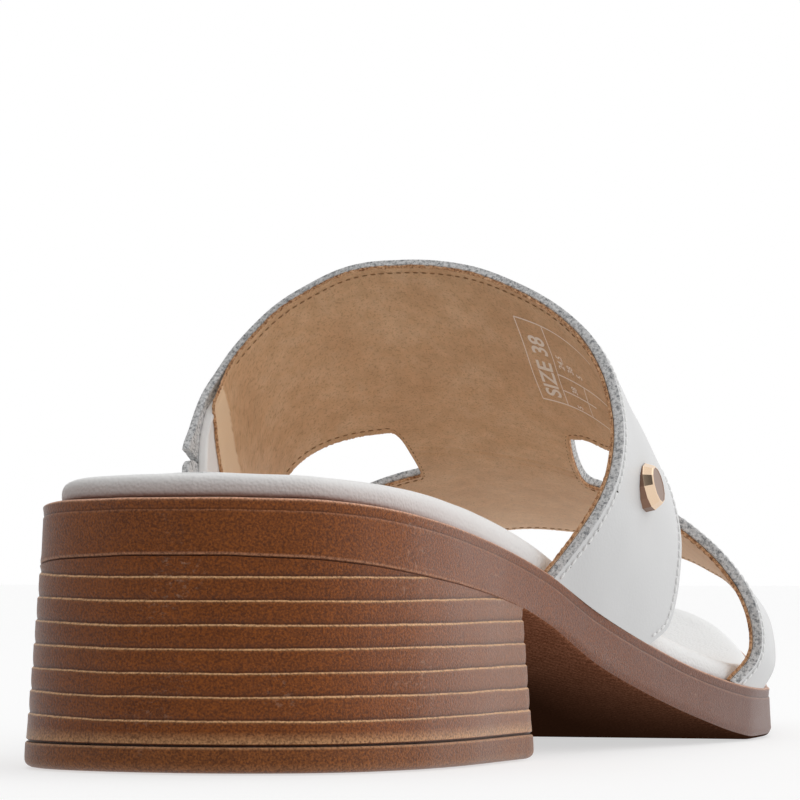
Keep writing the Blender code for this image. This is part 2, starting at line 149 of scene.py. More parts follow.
paper, _, _ = new_material(
    "white_paper", Roughness=0.9, Base_Color=linear("#a8a8a8"), Emission_Color=linear("#ffffff"),
    Emission_Strength=0.6,
)
floor_mesh = bpy.data.meshes.new("floor")
floor_mesh.from_pydata([(-6, -6, 0), (6, -6, 0), (6, 6, 0), (-6, 6, 0)], [], [(0, 1, 2, 3)])
floor_mesh.materials.append(paper)
floor = bpy.data.objects.new("floor", floor_mesh)
floor.location.z = -0.0002
floor.visible_diffuse = False
floor.visible_shadow = False
bpy.context.scene.collection.objects.link(floor)

# --------------------------------------------------------------------------------------- sole
# Unit sole of brown moulded rubber with a burnished, leather-like finish. A rounded lip runs
# round its top over a fine groove, its side flares to a bead at the bottom, and its underside
# is ribbed: the ribs are so shallow that they are drawn only as painted highlight and shade.
# The lip and the bead get a painted highlight, the groove a painted shade.
SOLE_LENGTH = 249.0
MIDDLE = (1.1, 123.4)  # x and y of the model's origin, in the tables' millimetres

#  y      inner x  outer x  top z   bottom z  pad
SOLE = (
    (0.0, 0.0, 0.0, 39.2, 30.8, 3.3),
    (0.5, -7.0, 4.7, 39.2, 30.8, 3.3),
    (2.0, -13.6, 10.0, 39.1, 30.6, 3.3),
    (6.0, -21.8, 17.5, 38.9, 30.25, 3.3),
    (10.0, -25.9, 21.4, 38.5, 29.75, 3.4),
    (13.0, -27.6, 23.3, 38.2, 29.4, 3.5),
    (24.0, -30.9, 27.6, 36.8, 27.9, 4.1),
    (38.0, -33.0, 29.6, 34.9, 26.3, 4.7),
    (58.0, -32.2, 30.4, 32.0, 23.7, 5.1),
    (75.0, -29.6, 32.2, 28.15, 19.65, 5.2),
    (92.0, -28.0, 35.0, 22.2, 13.2, 5.1),
    (110.0, -28.8, 38.5, 16.8, 8.0, 4.8),
    (128.0, -32.0, 41.8, 12.4, 3.8, 4.4),
    (145.0, -36.5, 44.4, 9.6, 0.7, 4.1),
    (152.0, -38.6, 45.0, 8.9, 0.0, 4.0),
    (165.0, -41.8, 44.2, 8.4, 0.0, 3.9),
    (182.0, -44.0, 40.0, 8.4, 0.0, 3.8),
    (205.0, -43.0, 33.2, 10.1, 1.7, 3.7),
    (222.0, -39.0, 26.3, 12.7, 4.3, 3.6),
    (236.0, -31.5, 18.3, 15.7, 7.3, 3.6),
    (244.5, -21.5, 9.5, 17.8, 9.4, 3.6),
    (247.5, -14.3, 3.2, 18.5, 10.1, 3.6),
    (248.7, -9.3, -1.0, 18.8, 10.4, 3.6),
    (249.0, -5.0, -5.0, 18.9, 10.5, 3.6),
)

# Side of the sole, bottom to top: inset from the outline, share of the height, and how much
# painted highlight (1) or painted shade in a groove (-1) it gets there.
SOLE_SIDE = (
    (0.8, 0.0, 0.0),
    (0.4, 0.01, 0.0),
    (0.14, 0.025, 0.15),
    (0.03, 0.042, 0.55),
    (0.0, 0.06, 0.3),
    (0.0, 0.085, 0.0),
    (0.04, 0.12, 0.0),
    (0.1, 0.155, 0.0),
    (0.15, 0.25, 0.0),
    (0.21, 0.4, 0.0),
    (0.27, 0.55, 0.0),
    (0.33, 0.68, 0.0),
    (0.35, 0.75, 0.0),
    (0.36, 0.775, 0.15),
    (0.42, 0.79, 0.25),
    (0.52, 0.802, -0.4),
    (0.54, 0.815, -0.35),
    (0.48, 0.835, 0.0),
    (0.45, 0.87, 0.0),
    (0.42, 0.915, 0.0),
    (0.37, 0.94, 0.05),
    (0.35, 0.96, 0.3),
    (0.42, 0.975, 1.0),
    (0.58, 0.99, 1.0),
    (0.95, 1.0, 0.4),
    (1.6, 1.0, 0.1),
    (2.4, 1.0, -0.2),
)


def column(table, index):
    """A smooth function through one column of a table, with no overshoot between rows."""
    rows = np.array(table, float)
    x = rows[:, 0]
    v = rows[:, index]
    step = np.diff(x)
    rise = np.diff(v) / step
    slope = np.zeros(len(x))
    same = rise[:-1] * rise[1:] > 0
    w1 = 2 * step[1:] + step[:-1]
    w2 = step[1:] + 2 * step[:-1]
    inner = np.zeros(len(x) - 2)
    inner[same] = (w1 + w2)[same] / (w1[same] / rise[:-1][same] + w2[same] / rise[1:][same])
    slope[1:-1] = inner
    slope[0] = rise[0]
    slope[-1] = rise[-1]

    def value(at):
        at = np.clip(at, x[0], x[-1])
        i = np.clip(np.searchsorted(x, at, side="right") - 1, 0, len(x) - 2)
        t = (at - x[i]) / step[i]
        return (
            v[i] * (1 + 2 * t) * (1 - t) ** 2
            + slope[i] * step[i] * t * (1 - t) ** 2
            + v[i + 1] * t * t * (3 - 2 * t)
            + slope[i + 1] * step[i] * t * t * (t - 1)
        )

    return value


inner_edge, outer_edge, sole_top, sole_bottom, pad_height = (column(SOLE, k) for k in range(1, 6))


def share_of(at, start, span):
    """How much of a span that begins at start is passed, from 0 to 1."""
    return np.clip((at - start) / span, 0.0, 1.0)


def mesh_object(name, points, faces, materials, indices=None, marks=None, chart=None, weld=0.002):
    """A smooth closed mesh from points in the tables' millimetres, with doubles merged. marks are
    numbers kept for each point, and chart its place on the flat pattern, for the materials."""
    mesh = bpy.data.meshes.new(name)
    places = (np.array(points, float) - (*MIDDLE, 0.0)) * MM
    mesh.from_pydata(places.tolist(), [], faces)
    for material in materials:
        mesh.materials.append(material)
    if indices is not None:
        mesh.polygons.foreach_set("material_index", np.array(indices, np.int32))
    for mark, values in (marks or {}).items():
        attribute = mesh.attributes.new(mark, "FLOAT", "POINT")
        attribute.data.foreach_set("value", np.array(values, np.float32))
    if chart is not None:
        corner = np.empty(len(mesh.loops), np.int32)
        mesh.loops.foreach_get("vertex_index", corner)
        flat = (np.array(chart, float) * MM)[corner]
        mesh.uv_layers.new(name="pattern").data.foreach_set("uv", flat.astype(np.float32).ravel())
    work = bmesh.new()
    work.from_mesh(mesh)
    bmesh.ops.delete(work, geom=[v for v in work.verts if not v.link_faces], context="VERTS")
    bmesh.ops.triangulate(work, faces=[f for f in work.faces if len(f.verts) > 4])
    bmesh.ops.remove_doubles(work, verts=work.verts, dist=weld * MM)
    work.to_mesh(mesh)
    work.free()
    mesh.shade_smooth()
    mesh.set_sharp_from_angle(angle=math.radians(48))
    obj = bpy.data.objects.new(name, mesh)
    bpy.context.scene.collection.objects.link(obj)
    return obj


def outline(last_y, count):
    """Plan of the sole up to last_y: out along the outer side, back along the inner one."""
    full = last_y >= SOLE_LENGTH
    turn = math.pi if full else math.pi / 2
    reach = last_y / 2 if full else last_y
    stations = reach * (1 - np.cos(turn * np.arange(count + 1) / count))
    outer = np.column_stack([outer_edge(stations), stations])
    inner = np.column_stack([inner_edge(stations), stations])
    inner = inner[1:-1] if full else inner[1:]
    return np.concatenate([outer, inner[::-1]])


def offset_loop(loop, distance):
    """A closed outline moved inward by distance, and outward where that is negative."""
    along = np.roll(loop, -1, axis=0) - np.roll(loop, 1, axis=0)
    along /= np.linalg.norm(along, axis=1)[:, None]
    return loop + np.column_stack([-along[:, 1], along[:, 0]]) * distance


def ring_faces(levels, count):
    """Quads between rings of equal count, one over the other."""
    faces = []
    for level in range(levels - 1):
        for i in range(count):
            j = (i + 1) % count
            low = level * count
            faces.append((low + i, low + j, low + count + j, low + count + i))
    return faces


def cap(points, ring_start, count, across, upward, height):
    """Closes a ring of an outline with a grid between points i and -i. height(x, y, z, t) gives
    each new point's z, where t runs from 0 at the outer side to 1 at the inner one."""
    half = count // 2
    rows = []
    for i in range(1, half):
        a = points[ring_start + i]
        b = points[ring_start + count - i]
        row = [ring_start + i]
        for k in range(1, across):
            t = k / across
            x, y, z = (a[c] + (b[c] - a[c]) * t for c in range(3))
            points.append((x, y, height(x, y, z, t)))
            row.append(len(points) - 1)
        row.append(ring_start + count - i)
        rows.append(row)
    faces = []
    for low, high in zip(rows, rows[1:]):
        for k in range(across):
            faces.append((low[k], low[k + 1], high[k + 1], high[k]))
    for k in range(across):
        faces.append((ring_start, rows[0][k + 1], rows[0][k]))
        faces.append((ring_start + half, rows[-1][k], rows[-1][k + 1]))
    return [tuple(reversed(f)) for f in faces] if upward else faces


# Moulded thermoplastic rubber, stained brown and burnished: warm and even, with a soft sheen.
# Its edges get a painted highlight and its grooves a painted shade.
def burnished_rubber(
    name, dark, warm, painted_light, groove_painted_shade, painted_light_fade, roughness, sheen=0.3, ior=1.42, rib_mm=0.0
):
    material, tree, shader = new_material(
        name, IOR=ior, Specular_IOR_Level=0.34 if sheen else 0.0, Sheen_Weight=sheen,
        Sheen_Roughness=0.45,
    )
    place = add_node(tree, "TexCoord").outputs["Object"]
    clouds = add_node(
        tree, "TexNoise", {"Vector": place, "Scale": 90.0, "Detail": 5.0, "Roughness": 0.6}
    )
    speckle = add_node(
        tree, "TexNoise", {"Vector": place, "Scale": 3000.0, "Detail": 3.0, "Roughness": 0.6}
    )
    mottle = add_node(tree, "Mix", {"Factor": 0.8, "A": clouds, "B": speckle}, data_type="FLOAT")
    spread = add_node(tree, "MapRange", {"Value": mottle, "From Min": 0.33, "From Max": 0.67})
    base = add_node(
        tree, "Mix", {"Factor": spread, "A": linear(dark), "B": linear(warm)}, data_type="RGBA"
    )
    # along Y this is a painted reflection on the sides; down to the floor it is a painted shade
    # under the sole
    share, first, last, shade = painted_light_fade  # the painted light it fades to
    axes = add_node(tree, "SeparateXYZ", {"Vector": place}).outputs
    along = add_node(
        tree, "MapRange",
        {
            "Value": axes["Y" if last > first else "Z"], "From Min": first, "From Max": last,
            "To Max": share,
        },
    )
    base = add_node(tree, "Mix", {"Factor": along, "A": base, "B": linear(shade)}, data_type="RGBA")
    # painted light: above 0 the mark lightens to the painted highlight colour, below 0 it darkens
    # to the painted groove shade
    painted_light_mark = add_node(tree, "Attribute", attribute_name="painted_light_mark").outputs["Fac"]
    broken = add_node(tree, "MapRange", {"Value": speckle, "From Min": 0.2, "From Max": 0.55})
    light = add_node(tree, "Math", {0: painted_light_mark, 1: broken}, operation="MULTIPLY", use_clamp=True)
    with_painted_highlight = add_node(tree, "Mix", {"Factor": light, "A": base, "B": linear(painted_light)}, data_type="RGBA")
    deep = add_node(tree, "Math", {0: painted_light_mark, 1: -1.0}, operation="MULTIPLY", use_clamp=True)
    final = add_node(tree, "Mix", {"Factor": deep, "A": with_painted_highlight, "B": linear(groove_painted_shade)}, data_type="RGBA")
    strokes = add_node(
        tree, "Mapping",
        {"Vector": place, "Scale": (900.0, 900.0, 1500.0), "Rotation": (0.0, 0.5, 0.0)},
    )
    scratch = add_node(
        tree, "TexNoise", {"Vector": strokes, "Scale": 1.0, "Detail": 4.0, "Roughness": 0.7}
    )
    where = add_node(tree, "TexNoise", {"Vector": place, "Scale": 55.0, "Detail": 1.0})
    rare = add_node(tree, "MapRange", {"Value": where, "From Min": 0.6, "From Max": 0.7})
    thin = add_node(tree, "MapRange", {"Value": scratch, "From Min": 0.56, "From Max": 0.66})
    scuff = add_node(tree, "Math", {0: rare, 1: thin}, operation="MULTIPLY")
    faint = add_node(tree, "Math", {0: scuff, 1: 0.7 * sheen}, operation="MULTIPLY")
    worn = add_node(
        tree, "Mix", {"Factor": faint, "A": final, "B": linear("#d8b8a0")}, data_type="RGBA"
    )
    grain = add_node(
        tree, "MapRange",
        {"Value": speckle, "From Min": 0.34, "From Max": 0.66, "To Min": 0.82, "To Max": 1.18},
    )
    grained = add_node(tree, "VectorMath", {0: worn, "Scale": grain}, operation="SCALE")
    if rib_mm:  # fine slanting ribs, as painted highlight on top and painted shade between
        slant = add_node(tree, "Mapping", {"Vector": place, "Rotation": (0, 0, 0.75)})
        ribs = add_node(
            tree, "TexWave", {"Vector": slant, "Scale": 314.16 / rib_mm, "Distortion": 0.0},
            wave_type="BANDS", bands_direction="X",
        )
        painted_rib_light = add_node(
            tree, "MapRange", {"Value": ribs.outputs["Fac"], "To Min": 0.87, "To Max": 1.13}
        )
        grained = add_node(tree, "VectorMath", {0: grained, "Scale": painted_rib_light}, operation="SCALE")
    dull = add_node(
        tree, "MapRange",
        {
            "Value": clouds, "From Min": 0.3, "From Max": 0.7, "To Min": roughness - 0.06,
            "To Max": roughness + 0.1,
        },
    )
    relief = add_node(tree, "Bump", {"Strength": 0.6, "Distance": 0.0002, "Height": speckle})
    set_inputs(shader, {"Base Color": grained, "Roughness": dull, "Normal": relief})
    return material


RING = 360
WAIST = 62.0  # y up to which the heel covers the underside
BARE_RINGS = 4  # lowest rings of the side, bare of finish where the sole is free
BEAD_FADES = 45.0  # y from which the painted highlight on the bead fades forward
loop = outline(SOLE_LENGTH, RING // 2)
points = []
painted_light_mark = []
for inset, share, painted_light in SOLE_SIDE:
    softer = share_of(loop[:, 1], WAIST, 20) * max(0.155 - share, 0.0) * 5.0
    moved = offset_loop(loop, (inset + softer)[:, None])
    low = sole_bottom(loop[:, 1])
    height = low + share * (sole_top(loop[:, 1]) - low)
    points += [(x, y, z) for (x, y), z in zip(moved, height)]
    kept = 1.0 - share_of(loop[:, 1], BEAD_FADES, 30) * (share < 0.3)
    painted_light_mark += (painted_light * kept).tolist()
faces = ring_faces(len(SOLE_SIDE), RING)
faces += cap(points, 0, RING, 60, False, lambda x, y, z, t: float(sole_bottom(y)))
faces += cap(points, (len(SOLE_SIDE) - 1) * RING, RING, 12, True, lambda x, y, z, t: z)
# painted shade: the underside darkens away from its outer edge, fading in forward of the heel
for x, y, _ in points[len(painted_light_mark) :]:  # the underside darkens away from its outer edge
    t = (outer_edge(y) - x) / (outer_edge(y) - inner_edge(y))
    painted_light_mark.append(-0.95 * share_of(t, 0.02, 0.3) * share_of(y, WAIST, 40))
# colours: dark and warm mottle, painted highlight, painted groove shade, and the painted reflection
# it fades to forward
sole_rubber = burnished_rubber(
    "moulded_rubber_sole", "#66310b", "#9a5316", "#e2a680", "#341809",
    (1.0, -0.08, 0.03, "#6c3e2b"), 0.42,
)
# colours: mottle, painted highlight, painted shade in grooves and under the sole, and the painted
# shadow it fades to at the floor
outsole_rubber = burnished_rubber(
    "outsole_rubber", "#6e402a", "#96644c", "#8a5a38", "#2e1a10", (0.85, 0.017, 0.0, "#0e0503"),
    0.5, sheen=0.0, ior=1.1, rib_mm=1.3,
)
side_faces = (len(SOLE_SIDE) - 1) * RING
indices = [0] * side_faces + [1] * (len(faces) - side_faces)
for i in range(BARE_RINGS * RING):
    indices[i] = int(i < RING or loop[i % RING, 1] > WAIST + 2)
sole = mesh_object(
    "sole_unit", points, faces, [sole_rubber, outsole_rubber], indices, {"painted_light_mark": painted_light_mark}
)
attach(sole, "root")
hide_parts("sole")

# --------------------------------------------------------------------------------------- heel
# Block heel in the same rubber, moulded to look like stacked leather: each layer stands a
# little further out than the one above, with a groove over its upper edge. Painted shadow darkens
# the groove and painted highlight lightens the edge.
HEEL_BREAST = 63.0
HEEL_HEIGHT = 30.8
HEEL_FLARE = 0.078
HEEL_INSET = 0.05
BREAST_CHAMFER = 1.2
TOP_LIFT = 3.8
LAYER_WAVE, LAYER_NICKS = 0.14, 0.05  # how uneven the layers are, over their length and finely
LAYER_RISE = 0.45  # how much higher they lie on the inner side
LAYER_LINES = (27.8, 24.4, 21.0, 17.6, 14.2, 10.8, 7.4)
# round each line: height from the line, inset, and painted highlight (+) or painted shade (-)
LAYER_EDGE = (
    (-1.5, 0.02, 0.0),
    (-0.5, 0.0, 0.0),
    (-0.22, -0.02, 0.1),
    (-0.12, 0.01, 0.7),
    (-0.04, 0.08, 1.0),
    (0.06, 0.17, 0.75),
    (0.13, 0.24, -0.5),
    (0.22, 0.24, -0.6),
    (0.5, 0.16, -0.15),
    (1.0, 0.07, 0.0),
    (1.6, 0.03, 0.0),
)


def build_block(name, levels, material):
    """A closed block through levels of (z, grow, painted light), cut off at the underside of the
    sole. Its plan is the sole's up to the breast, which is straight with chamfered corners."""
    plan = outline(HEEL_BREAST, 110)
    half = len(plan) // 2 + 1
    corner = HEEL_BREAST - BREAST_CHAMFER
    side = plan[plan[:, 1] < corner]
    split = np.count_nonzero(plan[:half, 1] < corner)
    outer, inner = outer_edge(HEEL_BREAST), inner_edge(HEEL_BREAST)
    across = np.linspace(outer - BREAST_CHAMFER, inner + BREAST_CHAMFER, 31)
    breast = [(outer, corner), *[(x, HEEL_BREAST) for x in across], (inner, corner)]
    plan = np.concatenate([side[:split], breast, side[split:]])
    step = np.roll(plan, -1, axis=0) - np.roll(plan, 1, axis=0)
    outward = np.column_stack([step[:, 1], -step[:, 0]]) / np.linalg.norm(step, axis=1)[:, None]
    points = []
    painted_light_mark = []
    for z, grow, painted_light in levels:
        for (x, y), (out_x, out_y) in zip(plan, outward):
            wave = 0.0
            if z > TOP_LIFT + 1:
                wave = LAYER_WAVE * noise.noise(Vector((x * 0.07, y * 0.07, z * 0.8)))
                wave += LAYER_NICKS * noise.noise(Vector((x * 0.9, y * 0.9, z * 0.8)))
                climb = share_of(-x, 9.0, 19.0)  # the layers rise a little inward
                wave += LAYER_RISE * climb * climb * (3 - 2 * climb)
            joint = float(sole_bottom(y))
            high = min(z + wave, joint)
            out = HEEL_FLARE * (HEEL_HEIGHT - high) - HEEL_INSET + (grow if high < joint else 0.0)
            points.append(
                (x + out_x * out, min(y + out_y * out, HEEL_BREAST + min(grow, 0.0)), high)
            )
            painted_light_mark.append(painted_light if high < joint else 0.0)
    count = len(plan)
    faces = ring_faces(len(levels), count)
    faces.append(tuple(reversed(range(count))))
    faces.append(tuple(range(len(points) - count, len(points))))
    return mesh_object(name, points, faces, [material], marks={"painted_light_mark": painted_light_mark})


# the groove over the top lift gets painted shade and its edge a painted highlight
levels = [(TOP_LIFT + 0.05, -0.35, -1.0), (TOP_LIFT + 0.2, -0.3, -1.0), (TOP_LIFT + 0.4, 0.0, 0.5)]
for line in reversed(LAYER_LINES):
    levels += [(line + up, -inset, painted_light) for up, inset, painted_light in LAYER_EDGE]
levels.append((HEEL_HEIGHT + 0.4, 0.0, 0.0))
# colours: mottle, painted highlight, painted groove shade, and the painted reflection it fades to
# at the breast
heel_rubber = burnished_rubber(
    "moulded_rubber_heel", "#653008", "#995112", "#f0bd88", "#341809",
    (0.55, -0.11, -0.06, "#9a6c50"), 0.38,
)
heel = build_block("heel_stack", levels, heel_rubber)
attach(heel, "root")
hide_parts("heel")

# ----------------------------------------------------------------------------------- top lift
# Wearing piece under the heel, of harder rubber: slightly wider, with a bevelled lower edge.
# third column: painted highlight on the lower bevel and along the upper edge
levels = (
    (0.0, -3.0, 0.0),
    (0.0, -1.5, 0.0),
    (0.08, -1.0, 0.0),
    (0.28, -0.55, 0.1),
    (0.6, -0.2, 0.2),
    (1.0, -0.02, 0.15),
    (1.5, 0.05, 0.0),
    (2.4, 0.08, 0.0),
    (TOP_LIFT - 0.5, 0.1, 0.0),
    (TOP_LIFT - 0.28, 0.1, 0.6),
    (TOP_LIFT - 0.14, 0.0, 0.9),
    (TOP_LIFT - 0.06, -0.2, 0.2),
)
# colours: mottle, painted highlight, painted groove shade, and the painted reflection it fades to
# at the front
lift_rubber = burnished_rubber(
    "hard_rubber_lift", "#61300d", "#99571f", "#c99468", "#2a1408", (0.3, -0.11, -0.06, "#84583a"),
    0.46,
)
lift = build_block("heel_top_lift", levels, lift_rubber)
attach(lift, "root")
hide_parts("top_lift")

# ------------------------------------------------------------------------------------- insole
# Foam insole wrapped in grained white leather: rounded sides, and a top that is a little
# fuller in the middle, dished under the heel and the ball.
INSOLE_INSET = 3.1
FOOTBED_CROWN = 0.35
HEEL_DISH = 0.6
RIM_PAINTED_SHADE, HEEL_PAINTED_SHADE = 0.85, 0.42  # share of painted shade at the foot of its side
# inset past the insole's edge, share of the pad's height
INSOLE_SIDE = (
    (0.6, -0.05),
    (0.28, -0.02),
    (0.12, 0.02),
    (0.05, 0.08),
    (0.02, 0.17),
    (0.0, 0.3),
    (0.0, 0.44),
    (0.08, 0.58),
    (0.25, 0.7),
    (0.5, 0.8),
    (0.85, 0.87),
    (1.35, 0.93),
    (2.0, 0.97),
    (3.0, 1.0),
    (4.5, 1.01),
)
RING = 300
loop = outline(SOLE_LENGTH, RING // 2)
points = []
for inset, share in INSOLE_SIDE:
    moved = offset_loop(loop, INSOLE_INSET + inset)
    for (x, y), (_, along) in zip(moved, loop):
        pucker = 0.03 * noise.noise(Vector((x * 0.25, y * 0.25, share * 2)))
        rise = share * pad_height(along) + 0.15
        points.append((x, y, float(sole_top(along) + rise + pucker)))


def footbed(x, y, z, t):
    crown = FOOTBED_CROWN * (1 - (2 * t - 1) ** 2)
    dish = HEEL_DISH * math.exp(-(((y - 36) / 22) ** 2) - ((x + 2) / 16) ** 2)
    return z + crown - dish + 0.12 * noise.noise(Vector((x * 0.09, y * 0.09, 4.0)))


faces = ring_faces(len(INSOLE_SIDE), RING)
faces += cap(points, 0, RING, 8, False, lambda x, y, z, t: z)
faces += cap(points, (len(INSOLE_SIDE) - 1) * RING, RING, 40, True, footbed)


# Corrected-grain leather: small flat pebbles about half a millimetre across under a matt
# white finish, so that it is even from afar and grained where light grazes it.
def grained_leather(name, shade, shadow, grain_mm, depth_mm, roughness, painted_shade=None):
    material, tree, shader = new_material(name, IOR=1.45)
    place = add_node(tree, "TexCoord").outputs["Object"]
    pebbles = add_node(
        tree, "TexVoronoi",
        {"Vector": place, "Scale": 1000.0 / grain_mm, "Smoothness": 0.6, "Randomness": 1.0},
        feature="SMOOTH_F1",
    )
    fine = add_node(
        tree, "TexNoise",
        {"Vector": place, "Scale": 450.0 / grain_mm, "Detail": 4.0, "Roughness": 0.6},
    )
    wide = add_node(
        tree, "TexNoise", {"Vector": place, "Scale": 38.0, "Detail": 3.0, "Roughness": 0.5}
    )
    height = add_node(tree, "Mix", {"Factor": 0.5, "A": pebbles, "B": fine}, data_type="FLOAT")
    relief = add_node(tree, "Bump", {"Strength": 0.5, "Distance": depth_mm * MM, "Height": height})
    tone = add_node(tree, "MapRange", {"Value": wide, "From Min": 0.35, "From Max": 0.7})
    colour = add_node(
        tree, "Mix", {"Factor": tone, "A": linear(shade), "B": linear(shadow)}, data_type="RGBA"
    )
    # painted shade, tinted with a painted reflection of the brown sole, mixed in by the mark
    if painted_shade:
        painted_light = add_node(tree, "Attribute", attribute_name="painted_shade_mark").outputs["Fac"]
        colour = add_node(
            tree, "Mix", {"Factor": painted_light, "A": colour, "B": linear(painted_shade)}, data_type="RGBA"
        )
    dull = add_node(
        tree, "MapRange", {"Value": fine, "To Min": roughness - 0.05, "To Max": roughness + 0.08}
    )
    set_inputs(shader, {"Base Color": colour, "Roughness": dull, "Normal": relief})
    return material


low = []
for _, share in INSOLE_SIDE:  # painted shade at the foot of its side, most at the heel
    behind = 1 - share_of(loop[:, 1], 25, 60)
    mark = RIM_PAINTED_SHADE * share_of(-share, -0.2, 0.1)
    mark = mark + behind * HEEL_PAINTED_SHADE * share_of(-share, -1.0, 0.6)
    low += np.minimum(mark, 1.0).tolist()
low += [0.0] * (len(points) - len(low))
insole_leather = grained_leather(
    "grained_insole_leather", "#fafaf9", "#f6f6f5", 0.5, 0.36, 0.5, "#ab8a7e"
)
insole = mesh_object("padded_insole", points, faces, [insole_leather], marks={"painted_shade_mark": low})
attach(insole, "root")
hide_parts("insole")

# --------------------------------------------------------------------- outer leather of the upper
# White calf leather 1.3 mm thick, cut from one flat piece shaped like an H: a wide rear band, a
# bridge and a toe band. It is lasted over the foot's form, and its cut edges are left raw.
# The form: each section is a quarter ellipse on both sides of a ridge, then a wall to the sole.
#  y      ridge x ridge z inner x inner z outer x outer z
LAST = (
    (60.0, -1.0, 106.0, -34.2, 58.0, 39.4, 56.0),
    (80.0, -2.0, 96.0, -34.0, 54.0, 40.0, 50.0),
    (90.0, -2.5, 88.6, -34.0, 52.5, 39.9, 44.8),
    (102.0, -3.0, 80.2, -34.0, 49.0, 40.2, 40.3),
    (110.0, -3.0, 74.2, -34.0, 44.5, 40.6, 36.3),
    (120.0, -3.2, 66.2, -34.4, 38.0, 41.1, 30.3),
    (130.0, -3.5, 58.8, -35.2, 32.5, 42.2, 25.0),
    (140.0, -4.0, 52.9, -36.5, 28.0, 44.8, 19.5),
    (150.0, -4.5, 48.4, -38.6, 25.0, 46.7, 16.0),
    (165.0, -5.5, 44.0, -42.4, 20.0, 45.6, 13.0),
    (187.0, -7.0, 38.6, -45.3, 16.5, 40.6, 12.0),
    (200.0, -8.0, 35.4, -45.0, 16.0, 37.0, 12.5),
)
# The cut lines: s runs over the wall from the ridge (0) down to the sole (1), and the columns
# give how far forward each cut lies there.
#  s     collar  slot back  slot front  toe edge
OUTER_CUTS = (
    (0.00, 103.0, 138.0, 153.0, 190.0),
    (0.12, 102.6, 138.0, 153.0, 189.8),
    (0.26, 101.5, 136.6, 153.4, 189.0),
    (0.30, 101.0, 134.5, 153.6, 188.5),
    (0.35, 100.2, 132.3, 153.4, 187.8),
    (0.40, 99.4, 131.4, 153.0, 186.8),
    (0.46, 98.1, 127.6, 152.5, 185.3),
    (0.56, 95.0, 122.6, 151.8, 181.4),
    (0.69, 89.6, 119.8, 151.0, 173.6),
    (0.77, 86.0, 119.0, 150.8, 169.2),
    (0.86, 82.0, 118.0, 150.4, 165.0),
    (0.94, 78.8, 115.8, 148.6, 163.0),
    (1.00, 76.5, 110.0, 145.2, 162.0),
)
INNER_CUTS = (
    (0.00, 103.0, 138.0, 153.0, 190.0),
    (0.10, 102.8, 136.8, 153.0, 190.4),
    (0.18, 102.9, 135.4, 152.6, 190.6),
    (0.32, 101.7, 131.8, 151.6, 190.0),
    (0.46, 98.5, 128.3, 150.4, 188.4),
    (0.56, 93.9, 125.6, 149.8, 186.0),
    (0.64, 89.9, 123.2, 149.4, 183.6),
    (0.71, 85.8, 121.2, 149.2, 181.0),
    (0.80, 83.4, 118.2, 148.8, 178.0),
    (0.90, 81.4, 114.6, 148.0, 175.2),
    (1.00, 79.6, 111.0, 146.4, 173.0),
)
UPPER_INSET = 0.5
PATTERN = 118.0  # length of the wall from ridge to sole on the flat pattern
OUTER, INNER = 1, -1
# upper end of each side opening: its s, where it is highest from back (0) to front (1), then the
# span in s and the squareness of its back corner and of its front corner
SLOT_END = {
    OUTER: (0.272, 0.72, 0.026, 1.5, 0.02, 2.5),
    INNER: (0.155, 0.35, 0.03, 3.0, 0.03, 3.0),
}
BAND_END = (0.708, 0.735)  # s where the inner rear leg is cut, at its back and its front edge
HELD_SPAN = 0.33
OUTER_THICKNESS = (1.25, 1.6)  # over the ridge, and down the outer leg
STATION_STEP = 0.25
STATIONS = np.arange(66.0, 198.0, STATION_STEP)
WALL_STEPS = 800

ridge_x, ridge_z, inner_x, inner_z, outer_x, outer_z = (column(LAST, k) for k in range(1, 7))
cuts = {
    OUTER: [column(OUTER_CUTS, k) for k in range(1, 5)],
    INNER: [column(INNER_CUTS, k) for k in range(1, 5)],
}


def form_of(side):
    """Points and normals of the wall's outer face on one side, over y and s."""
    points = np.zeros((len(STATIONS), WALL_STEPS + 1, 3))
    turn = np.linspace(0, math.pi / 2, 90)
    down = np.linspace(0, 1, 60)[1:]
    share = np.linspace(0, 1, WALL_STEPS + 1)
    for row, y in enumerate(STATIONS):
        wide_x, wide_z = (outer_x(y), outer_z(y)) if side > 0 else (inner_x(y), inner_z(y))
        foot_x = outer_edge(y) - UPPER_INSET if side > 0 else inner_edge(y) + UPPER_INSET
        foot_z = sole_top(y) - 0.2
        arc_x = ridge_x(y) + (wide_x - ridge_x(y)) * np.sin(turn)
        arc_z = wide_z + (ridge_z(y) - wide_z) * np.cos(turn)
        wall_x = foot_x + (wide_x - foot_x) * np.cos(down * math.pi / 2)
        wall_z = wide_z + (foot_z - wide_z) * down
        x = np.concatenate([arc_x, wall_x])
        z = np.concatenate([arc_z, wall_z])
        length = np.concatenate([[0.0], np.cumsum(np.hypot(np.diff(x), np.diff(z)))])
        points[row, :, 0] = np.interp(share * length[-1], length, x)
        points[row, :, 1] = y
        points[row, :, 2] = np.interp(share * length[-1], length, z)
    normals = side * np.cross(np.gradient(points, axis=1), np.gradient(points, axis=0))
    normals[:, 0, 0] = 0.0
    normals /= np.linalg.norm(normals, axis=2)[:, :, None]
    return points, normals


form = {side: form_of(side) for side in (OUTER, INNER)}


def wall(s, y, side):
    """Points and normals of the wall's outer face at arrays of s and y."""
    row = np.clip((y - STATIONS[0]) / STATION_STEP, 0, len(STATIONS) - 1.001)
    step = np.clip(s, 0, 0.999999) * WALL_STEPS
    i = row.astype(int)
    j = step.astype(int)
    across = (row - i)[..., None]
    down = (step - j)[..., None]

    def between(table):
        near = table[i, j] * (1 - down) + table[i, j + 1] * down
        far = table[i + 1, j] * (1 - down) + table[i + 1, j + 1] * down
        return near * (1 - across) + far * across

    points, normals = form[side]
    return between(points), between(normals)


